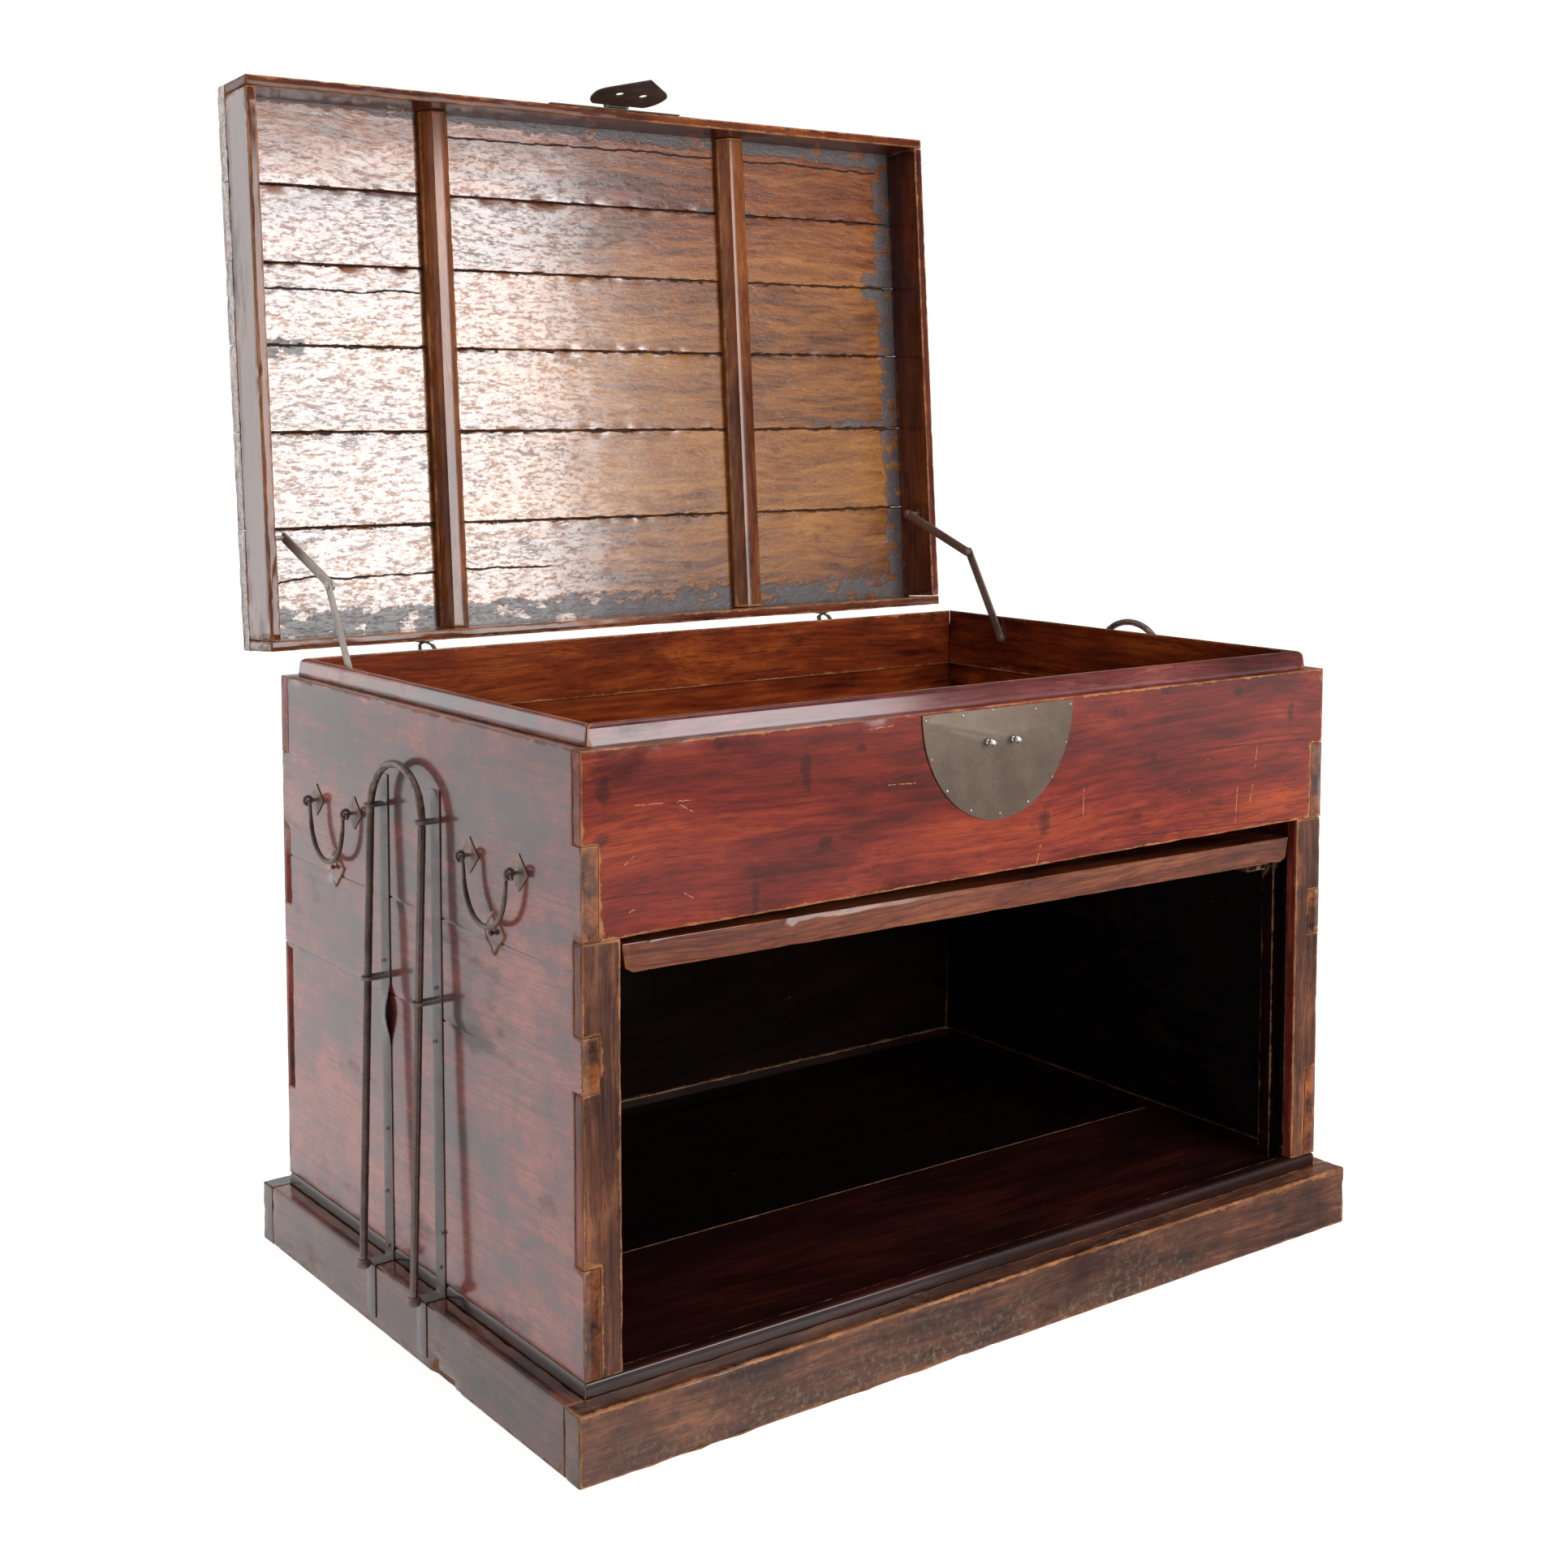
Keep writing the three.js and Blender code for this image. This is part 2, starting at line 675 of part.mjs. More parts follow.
// A strap of sheet iron runs down the side and over the plinth, and carries two staples.
function strap(y) {
  const wall = -halfWidth;
  const skin = wall - strapThickness;
  const plinthFace = wall - plinthSideThickness;
  const bend = plinthHeight + strapThickness;
  const sheet = extrudeY(outline([
    [wall, strapTopHeight], [skin, strapTopHeight], [skin, bend], [plinthFace - strapThickness, bend],
    [plinthFace - strapThickness, strapEndHeight], [plinthFace, strapEndHeight],
    [plinthFace, plinthHeight], [wall, plinthHeight],
  ]), y - strapWidth / 2, y + strapWidth / 2);
  const staples = stapleHeights.map((z) => {
    const lift = (out, along) => new THREE.Vector3(wall - strapThickness / 2 - out, y + along, z);
    const path = staplePath(handleStandoff(z) - strapThickness / 2, stapleHalfWidth);
    return wire(new LiftedPath(path, lift), stapleWireRadius, 16, 6);
  });
  return fuse(sheet, ...staples);
}

// Inverted U of round rod with a ball at each foot, leaning out towards the plinth.
// Squat forged head at the foot of a leg.
function handleFoot(place) {
  const rim = handleFootRadius - handleFootEasing;
  const half = handleFootDepth / 2;
  const profile = [
    [0, -half], [rim, -half], [handleFootRadius, handleFootEasing - half],
    [handleFootRadius, half - handleFootEasing], [rim, half], [0, half],
  ].map(([radius, height]) => new THREE.Vector2(radius, height));
  const head = new THREE.LatheGeometry(profile, 14).rotateX(Math.PI / 2);
  return head.translate(place.x, place.y, place.z);
}

function handle() {
  const path = new THREE.Path();
  path.moveTo(-handleHalfWidth, handleArchHeight - overrun);
  path.lineTo(-handleHalfWidth, handleArchHeight);
  path.absellipse(0, handleArchHeight, handleHalfWidth, handleArchRise, Math.PI, 0, true);
  path.lineTo(handleHalfWidth, handleArchHeight - overrun);
  const lift = (y, z) => new THREE.Vector3(-halfWidth - handleStandoff(z), handlePlace + y, z);
  const arch = wire(new LiftedPath(path, lift), handleRodRadius, 18, 8);
  const legs = [-1, 1].flatMap((side) => {
    const foot = lift(side * handleHalfWidth, handleFootHeight);
    const top = lift(side * handleHalfWidth, handleArchHeight);
    return [roundBar(foot, top, handleRodRadius, 8), handleFoot(foot)];
  });
  return fuse(arch, ...legs);
}

function liftHandle(mesh, distance) {
  const lean = handleStandoff(0) - handleStandoff(1);
  const direction = new THREE.Vector3(lean, 0, 1).normalize();
  mesh.position.copy(direction.multiplyScalar(distance));
  return mesh;
}

// Eye on a diamond plate. A bail's end turns in its ring.
function eyePlate(y) {
  const ring = new THREE.TorusGeometry(eyeRingRadius, eyeWireRadius, 6, 12).rotateX(Math.PI / 2);
  ring.translate(-halfWidth - eyeStandoff, y, bailEyeHeight);
  const root = new THREE.Vector3(-halfWidth - eyePlateThickness / 2, y, bailEyeHeight);
  const neck = root.clone().setX(eyeRingRadius - eyeStandoff - halfWidth);
  const plate = diamondPlate(eyePlateSize, eyePlateThickness, y, bailEyeHeight);
  return fuse(plate, ring, roundBar(root, neck, eyeWireRadius, 6));
}

// Drop handle of forged rod, thinner towards the ends that pass through the eyes.
function bail(centre) {
  const path = new THREE.Path();
  const end = bailHalfWidth + bailOverhang;
  const inner = bailHalfWidth - bailOverhang;
  const belly = bailHalfWidth * bailBellyShare;
  const shoulder = -bailDrop * bailShoulderShare;
  path.moveTo(-end, -bailHookDrop);
  path.quadraticCurveTo(-end, 0, -bailHalfWidth, 0);
  path.quadraticCurveTo(-inner, 0, -inner, -bailOverhang);
  path.bezierCurveTo(-inner, shoulder, -belly, -bailDrop, 0, -bailDrop);
  path.bezierCurveTo(belly, -bailDrop, inner, shoulder, inner, -bailOverhang);
  path.quadraticCurveTo(inner, 0, bailHalfWidth, 0);
  path.quadraticCurveTo(end, 0, end, -bailHookDrop);
  const lift = (y, z) => new THREE.Vector3(-halfWidth - eyeStandoff, centre + y, bailEyeHeight + z);
  const taper = (share) => bailTipShare + (1 - bailTipShare) * Math.sin(share * Math.PI);
  return wire(new LiftedPath(path, lift), bailRodRadius, 44, 8, taper);
}

// All ironwork of the left side. The right side carries the same, turned half round.
function sideHardware(label, handleLift) {
  const group = new THREE.Group();
  const rows = { front: -1, rear: 1 };
  for (const [row, sign] of Object.entries(rows)) {
    const strapPlace = handlePlace + sign * handleHalfWidth;
    const bailPlace = handlePlace + sign * bailOffset;
    group.add(piece(`strap_${label}_${row}`, strap(strapPlace), iron));
    group.add(piece(`bail_${label}_${row}`, bail(bailPlace), iron));
    group.add(piece(`eye_plate_${label}_${row}_a`, eyePlate(bailPlace - bailHalfWidth), iron));
    group.add(piece(`eye_plate_${label}_${row}_b`, eyePlate(bailPlace + bailHalfWidth), iron));
  }
  group.add(liftHandle(piece(`pole_handle_${label}`, handle(), iron), handleLift));
  return group;
}

// Lid pieces are built in the closed place, measured from the hinge axis.
function lidBlock(x0, y0, z0, x1, y1, z1) {
  return block(x0, y0 - hingeY, z0 - hingeZ, x1, y1 - hingeY, z1 - hingeZ);
}

function lidSideRail(side) {
  const inner = halfWidth - lidRailThickness;
  const [left, right] = [side * inner, side * halfWidth].sort((a, b) => a - b);
  const end = lidInnerHalfDepth - seatGap;
  const rail = lidBlock(left, -end, lidSeat, right, end, lidRailTop);
  const y = upperPivotPlace - hingeY;
  return cut(rail, pinHole(side, inner - overrun, inner + stayPinReach, y, upperPivotRise));
}

function lidPlank(index) {
  const edges = [-halfDepth, ...lidJointPlaces, halfDepth];
  const front = edges[index] + (index > 0 ? seatGap / 2 : 0);
  const back = edges[index + 1] - (index + 1 < edges.length - 1 ? seatGap / 2 : 0);
  const ease = edgeEasing / 2;
  const section = easedRectangle(front, lidTopSeat, back, lidTop, [ease, ease, ease, ease]);
  return extrudeX(section, -halfWidth, halfWidth).translate(0, -hingeY, -hingeZ);
}

function batten(place, width) {
  const half = width / 2;
  const base = lidTopSeat - seatGap;
  const section = outline([
    [place - half, base], [place - half, base - battenSide],
    [place - half + battenChamfer, base - battenHeight], [place + half - battenChamfer, base - battenHeight],
    [place + half, base - battenSide], [place + half, base],
  ]);
  const end = lidInnerHalfDepth - seatGap;
  return extrudeY(section, -end, end).translate(0, -hingeY, -hingeZ);
}

// Staple whose cross bar lies on the hinge axis, inside the eye on the back board.
function hingeStaple(x) {
  const half = hingeStapleWidth / 2;
  const corner = 2 * hingeWireRadius;
  const far = Math.hypot(hingeSetback - seatGap, hingeStapleRise);
  const path = new THREE.Path();
  path.moveTo(-half, far);
  path.lineTo(-half, corner);
  path.quadraticCurveTo(-half, 0, corner - half, 0);
  path.lineTo(half - corner, 0);
  path.quadraticCurveTo(half, 0, half, corner);
  path.lineTo(half, far);
  const lift = (across, along) => {
    const share = along / far;
    return new THREE.Vector3(x + across, (seatGap - hingeSetback) * share, hingeStapleRise * share);
  };
  const arms = wire(new LiftedPath(path, lift), hingeStapleRadius, 24, 8);
  const foot = block(
    x - half - corner, seatGap - hingeSetback - hingeWireRadius, hingeStapleRise - corner,
    x + half + corner, seatGap - hingeSetback + plateThickness, hingeStapleRise + corner,
  );
  const behind = block(
    x - hingeStapleWidth, -hingeSetback - hingeStapleWidth, -hingeStapleWidth,
    x + hingeStapleWidth, seatGap - hingeSetback, hingeStapleWidth * 2,
  );
  return cut(fuse(arms, foot), behind);
}

// Half-round plate on the lid's front with two knuckles for the hasp's pin.
function lidPlate() {
  const frontY = -halfDepth - hingeY;
  const plate = halfRoundPlate(lidPlateHalfWidth, lidPlateRise, plateThickness);
  plate.translate(lockPlace, frontY - seatGap, lidSeat - hingeZ);
  const pinY = frontY - seatGap - haspStandoff;
  const knuckles = [-1, 1].flatMap((side) => {
    const inner = side * (haspBarrelWidth / 2 + runningGap);
    const outer = inner + side * haspKnuckleWidth;
    const [from, to] = [inner, outer].map((x) => new THREE.Vector3(lockPlace + x, pinY, haspHingeRise));
    const [left, right] = [from.x, to.x].sort((a, b) => a - b);
    const low = haspHingeRise;
    const high = haspHingeRise + haspBarrelRadius;
    const web = block(left, pinY, low, right, frontY - seatGap - plateThickness / 2, high);
    return [roundBar(from, to, haspBarrelRadius, 12), web];
  });
  const reach = haspBarrelWidth / 2 + haspPinOverhang;
  const [start, end] = [-reach, reach].map((x) => new THREE.Vector3(lockPlace + x, pinY, haspHingeRise));
  return cut(fuse(plate, ...knuckles), roundBar(start, end, haspPinRadius + runningGap, 12));
}

// Hasp outline from its hinge down: a broad shield that narrows in two straight lines to its tip.
function haspShape() {
  const neck = haspBarrelWidth / 2 - runningGap;
  const base = haspHalfWidth * haspBaseShare;
  const taper = haspHalfWidth * haspTaperShare;
  const neckDrop = -haspLength * haspNeckShare;
  const shoulderDrop = -haspLength * haspShoulderShare;
  const waistDrop = -haspLength * haspWaistShare;
  const cornerDrop = -haspLength * haspCornerShare;
  const taperDrop = -haspLength * haspTaperShare;
  const shape = new THREE.Shape();
  shape.moveTo(-neck, 0);
  shape.lineTo(neck, 0);
  shape.lineTo(neck, neckDrop);
  shape.lineTo(base, neckDrop);
  shape.quadraticCurveTo(haspHalfWidth, shoulderDrop, haspHalfWidth, waistDrop);
  shape.quadraticCurveTo(haspHalfWidth, cornerDrop, taper, taperDrop);
  shape.lineTo(0, -haspLength);
  shape.lineTo(-taper, taperDrop);
  shape.quadraticCurveTo(-haspHalfWidth, cornerDrop, -haspHalfWidth, waistDrop);
  shape.quadraticCurveTo(-haspHalfWidth, shoulderDrop, -base, neckDrop);
  shape.lineTo(-neck, neckDrop);
  return shape;
}

// Hasp about its pin, hanging straight down.
function hasp() {
  const holeDrop = haspHingeRise + studDrop;
  const plate = extrudeY(haspShape(), -haspThickness / 2, haspThickness / 2, 6);
  const barrel = (half, radius) => {
    const [from, to] = [-half, half].map((x) => new THREE.Vector3(x, 0, 0));
    return roundBar(from, to, radius, 12);
  };
  const holes = [-1, 1].map((side) => {
    const [from, to] = [-haspThickness, haspThickness].map(
      (y) => new THREE.Vector3(side * studSpacing / 2, y, -holeDrop),
    );
    return roundBar(from, to, haspHoleRadius, 16);
  });
  const pin = barrel(haspBarrelWidth / 2 + haspPinOverhang, haspPinRadius);
  return cut(fuse(plate, barrel(haspBarrelWidth / 2, haspBarrelRadius), pin), ...holes);
}

// Flat bar of a stay between two pivots in the Y and Z plane.
function stayBar(from, to, x) {
  const along = to.clone().sub(from);
  const half = stayWidth / 2;
  const shape = new THREE.Shape();
  shape.absarc(0, 0, half, Math.PI / 2, Math.PI * 1.5, false);
  shape.absarc(along.length(), 0, half, -Math.PI / 2, Math.PI / 2, false);
  const bar = extrude(shape, stayThickness, 6).translate(0, 0, -stayThickness / 2);
  return bar.rotateZ(Math.atan2(along.y, along.x)).applyMatrix4(acrossX).translate(x, from.x, from.y);
}

const liningInner = halfWidth - coamingInset - coamingWidth;
const lowerBarX = liningInner - stayInset - stayThickness / 2;
const upperBarX = lowerBarX - stayThickness - stayPlayGap;
const elbow = new THREE.Vector2(elbowPlace, ledgeHeight + elbowRise);
const lowerPivot = new THREE.Vector2(lowerPivotPlace, stayHeight);
const upperPivot = new THREE.Vector2(upperPivotPlace, hingeZ + upperPivotRise);

function stayHead(side, place, barX, direction) {
  const from = new THREE.Vector3(side * barX, place.x, place.y);
  const reach = barX + direction * (stayThickness / 2 + stayHeadHeight);
  return roundBar(from, new THREE.Vector3(side * reach, place.x, place.y), stayHeadRadius, 10);
}

function lowerStay(side) {
  const bar = stayBar(lowerPivot, elbow, side * lowerBarX);
  const [start, end] = [lowerBarX, liningInner + stayPinReach - seatGap].map(
    (x) => new THREE.Vector3(side * x, lowerPivotPlace, stayHeight),
  );
  const pin = roundBar(start, end, stayPinRadius, 12);
  return fuse(bar, pin, stayHead(side, lowerPivot, lowerBarX, -1), stayHead(side, elbow, lowerBarX, 1));
}

// The upper bar is drawn about its own pivot, turned to meet the elbow with the lid open.
function upperStay(side) {
  const openPivot = upperPivot.clone().sub(new THREE.Vector2(hingeY, hingeZ));
  openPivot.rotateAround(new THREE.Vector2(), -THREE.MathUtils.degToRad(lidOpenAngle));
  openPivot.add(new THREE.Vector2(hingeY, hingeZ));
  const bar = stayBar(openPivot, elbow, side * upperBarX);
  const railInner = halfWidth - lidRailThickness;
  const [start, end] = [upperBarX, railInner + stayPinReach - seatGap].map(
    (x) => new THREE.Vector3(side * x, openPivot.x, openPivot.y),
  );
  const pin = roundBar(start, end, stayPinRadius, 12);
  return fuse(bar, pin, stayHead(side, openPivot, upperBarX, -1), stayHead(side, elbow, upperBarX, -1));
}

function base() {
  const group = new THREE.Group();
  const longBoard = () => plinthBoard(bodyWidth + 2 * plinthSideThickness, plinthFrontThickness);
  const shortBoard = () => plinthBoard(bodyDepth, plinthSideThickness);
  const front = piece('plinth_front', longBoard(), darkWood);
  front.position.y = -plinthHalfDepth;
  const back = piece('plinth_back', longBoard(), darkWood);
  back.position.y = plinthHalfDepth;
  back.rotation.z = Math.PI;
  const left = piece('plinth_left', shortBoard(), darkWood);
  left.position.x = -halfWidth - plinthSideThickness;
  left.rotation.z = -Math.PI / 2;
  const right = piece('plinth_right', shortBoard(), darkWood);
  right.position.x = halfWidth + plinthSideThickness;
  right.rotation.z = Math.PI / 2;
  group.add(front, back, left, right);
  group.add(piece('base_frame', baseFrame(), darkWood));
  group.add(piece('floor_board_front', floorBoard(frontInner, floorJointPlace - seatGap), darkWood));
  group.add(piece('floor_board_rear', floorBoard(floorJointPlace, backInner), darkWood));
  return group;
}

function carcass() {
  const group = new THREE.Group();
  group.add(piece('side_left', sideBoard(-1), sideLacquer));
  group.add(piece('side_right', sideBoard(1), sideLacquer));
  group.add(piece('back_board', backBoard(), lacquer));
  group.add(piece('front_board', frontBoard(), lacquer));
  group.add(piece('stile_left', stile(-1), lacquer));
  group.add(piece('stile_right', stile(1), lacquer));
  group.add(piece('coaming_front', longCoaming(frontThickness, 0), lacquer));
  group.add(piece('coaming_back', longCoaming(backThickness, 2), lacquer));
  group.add(piece('coaming_left', sideCoaming(-1), lacquer));
  group.add(piece('coaming_right', sideCoaming(1), lacquer));
  group.add(piece('till_floor', tillFloor(), innerWood));
  group.add(piece('door_guide_left', doorGuide(-1, leftRunnerTop), darkWood));
  group.add(piece('door_guide_right', doorGuide(1, rightRunnerTop), darkWood));
  group.add(piece('lock_plate', lockPlate(), bronze));
  return group;
}

function lid() {
  const group = new THREE.Group();
  const frontRail = lidBlock(-halfWidth, -halfDepth, lidSeat, halfWidth, -lidInnerHalfDepth, lidRailTop);
  const backRail = lidBlock(-halfWidth, lidInnerHalfDepth, lidSeat, halfWidth, halfDepth, lidRailTop);
  group.add(piece('lid_rail_front', frontRail, lacquer));
  group.add(piece('lid_rail_back', backRail, lacquer));
  group.add(piece('lid_rail_left', lidSideRail(-1), lacquer));
  group.add(piece('lid_rail_right', lidSideRail(1), lacquer));
  for (let i = 0; i <= lidJointPlaces.length; i += 1) {
    group.add(piece(`lid_plank_${i + 1}`, lidPlank(i), innerWood));
  }
  group.add(piece('lid_batten_left', batten(leftBattenPlace, leftBattenWidth), lacquer));
  group.add(piece('lid_batten_right', batten(rightBattenPlace, rightBattenWidth), lacquer));
  group.add(piece('hinge_staple_left', hingeStaple(-hingePlace), iron));
  group.add(piece('hinge_staple_right', hingeStaple(hingePlace), iron));
  group.add(piece('lid_plate', lidPlate(), bronze));
  const swinging = piece('hasp', hasp(), bronze);
  swinging.position.set(lockPlace, -halfDepth - hingeY - seatGap - haspStandoff, haspHingeRise);
  swinging.rotation.x = -THREE.MathUtils.degToRad(haspSwing);
  group.add(swinging);
  group.position.set(0, hingeY, hingeZ);
  group.rotation.x = -THREE.MathUtils.degToRad(lidOpenAngle);
  return group;
}

function stays() {
  const group = new THREE.Group();
  const finishes = { left: paleSteel, right: iron };
  for (const [label, side] of Object.entries({ left: -1, right: 1 })) {
    group.add(piece(`stay_lower_${label}`, lowerStay(side), finishes[label]));
    group.add(piece(`stay_upper_${label}`, upperStay(side), finishes[label]));
  }
  return group;
}

// The open lid reaches back past the plinth, so the body stands forward of the middle.
function openReach() {
  const angle = THREE.MathUtils.degToRad(lidOpenAngle);
  return hingeY - (halfDepth + hingeY) * Math.cos(angle) + (lidTop - hingeZ) * Math.sin(angle);
}

const chest = new THREE.Group();
const rightHardware = sideHardware('right', rightHandleLift);
rightHardware.rotation.z = Math.PI;
chest.add(base(), carcass(), sideHardware('left', 0), rightHardware);
chest.add(placeDoor(piece('door', door(), lacquer)), lid(), stays());
chest.position.y = (plinthHalfDepth - openReach()) / 2;

const shipChest = new THREE.Group();
shipChest.add(chest);
export default shipChest;
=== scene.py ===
import json
import math
import random
import time

import bmesh
import bpy
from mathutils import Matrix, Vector, kdtree, noise


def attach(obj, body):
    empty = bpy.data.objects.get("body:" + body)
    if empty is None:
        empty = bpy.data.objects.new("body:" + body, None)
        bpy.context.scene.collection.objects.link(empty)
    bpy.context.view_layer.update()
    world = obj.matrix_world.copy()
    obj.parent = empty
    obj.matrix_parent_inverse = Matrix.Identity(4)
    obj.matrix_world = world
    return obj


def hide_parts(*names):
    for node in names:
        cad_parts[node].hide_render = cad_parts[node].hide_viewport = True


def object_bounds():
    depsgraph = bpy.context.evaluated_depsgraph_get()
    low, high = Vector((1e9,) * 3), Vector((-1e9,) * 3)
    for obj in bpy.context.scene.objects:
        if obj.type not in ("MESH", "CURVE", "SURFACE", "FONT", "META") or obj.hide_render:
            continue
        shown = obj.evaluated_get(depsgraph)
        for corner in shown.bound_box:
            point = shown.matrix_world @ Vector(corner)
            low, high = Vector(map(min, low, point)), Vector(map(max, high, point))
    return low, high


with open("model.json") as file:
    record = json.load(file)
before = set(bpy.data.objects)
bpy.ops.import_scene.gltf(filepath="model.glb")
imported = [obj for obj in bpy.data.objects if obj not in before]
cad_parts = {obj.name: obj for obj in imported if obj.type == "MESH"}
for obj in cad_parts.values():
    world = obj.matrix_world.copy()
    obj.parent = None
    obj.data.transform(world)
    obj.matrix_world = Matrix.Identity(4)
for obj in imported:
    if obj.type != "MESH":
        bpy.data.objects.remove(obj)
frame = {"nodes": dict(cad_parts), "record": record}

bpy.context.scene.view_settings.view_transform = "Standard"
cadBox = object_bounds()
nodes = frame["nodes"]
bodies = frame["record"]["behaviour"]["bodies"]
bodyOfNode = {name: body for body, members in bodies.items() for name in members}
started = time.time()
perMetre = 1000  # millimetres


def report(words):
    print(f"{time.time() - started:6.1f} s  {words}")


report(f"frame loaded with {len(nodes)} nodes")


# view, light and room

viewing = {
    "place": (-1.5835, -2.17144, 1.0537),
    "turn": (85.67, 0, -36.33),
    "lens": 48.21,
    "sensor": 36,
    "shiftY": -0.138,
}


def makeCamera():
    data = bpy.data.cameras.new("chestCamera")
    data.lens = viewing["lens"]
    data.sensor_width = viewing["sensor"]
    data.shift_y = viewing["shiftY"]
    camera = bpy.data.objects.new("chestCamera", data)
    camera.location = viewing["place"]
    camera.rotation_euler = [math.radians(angle) for angle in viewing["turn"]]
    bpy.context.scene.collection.objects.link(camera)
    bpy.context.scene.camera = camera


lamps = {
    "frontSoftbox": {"place": (0.9, -3.1, 1.35), "aim": (-0.1, 0.2, 0.8), "size": (2.0, 1.9), "watts": 92},
    "rearSoftbox": {"place": (-2.5, 2.9, 1.4), "aim": (-0.5, 0.1, 0.7), "size": (2.0, 2.2), "watts": 20},
    "topSoftbox": {"place": (0.2, -0.2, 3.4), "aim": (0, 0, 0.6), "size": (2.6, 2.2), "watts": 30},
}


def makeLamps():
    for name, lamp in lamps.items():
        data = bpy.data.lights.new(name, "AREA")
        data.shape = "RECTANGLE"
        data.size, data.size_y = lamp["size"]
        data.energy = lamp["watts"]
        light = bpy.data.objects.new(name, data)
        light.location = lamp["place"]
        aim = Vector(lamp["aim"]) - Vector(lamp["place"])
        light.rotation_euler = aim.to_track_quat("-Z", "Y").to_euler()
        light.visible_camera = False
        bpy.context.scene.collection.objects.link(light)


# shader recipes: a wire is one output of a node and takes part in sums

class Wire:
    def __init__(self, finish, socket):
        self.finish = finish
        self.socket = socket

    def maths(self, operation, *values):
        return self.finish.node("ShaderNodeMath", {"operation": operation}, dict(enumerate(values)))

    def __add__(self, other):
        return self.maths("ADD", self, other)

    def __radd__(self, other):
        return self.maths("ADD", other, self)

    def __sub__(self, other):
        return self.maths("SUBTRACT", self, other)

    def __rsub__(self, other):
        return self.maths("SUBTRACT", other, self)

    def __mul__(self, other):
        return self.maths("MULTIPLY", self, other)

    def __rmul__(self, other):
        return self.maths("MULTIPLY", other, self)

    def power(self, exponent):
        return self.maths("POWER", self, exponent)

    def lower(self, other):
        return self.maths("MINIMUM", self, other)

    def higher(self, other):
        return self.maths("MAXIMUM", self, other)

    def size(self):
        return self.maths("ABSOLUTE", self)


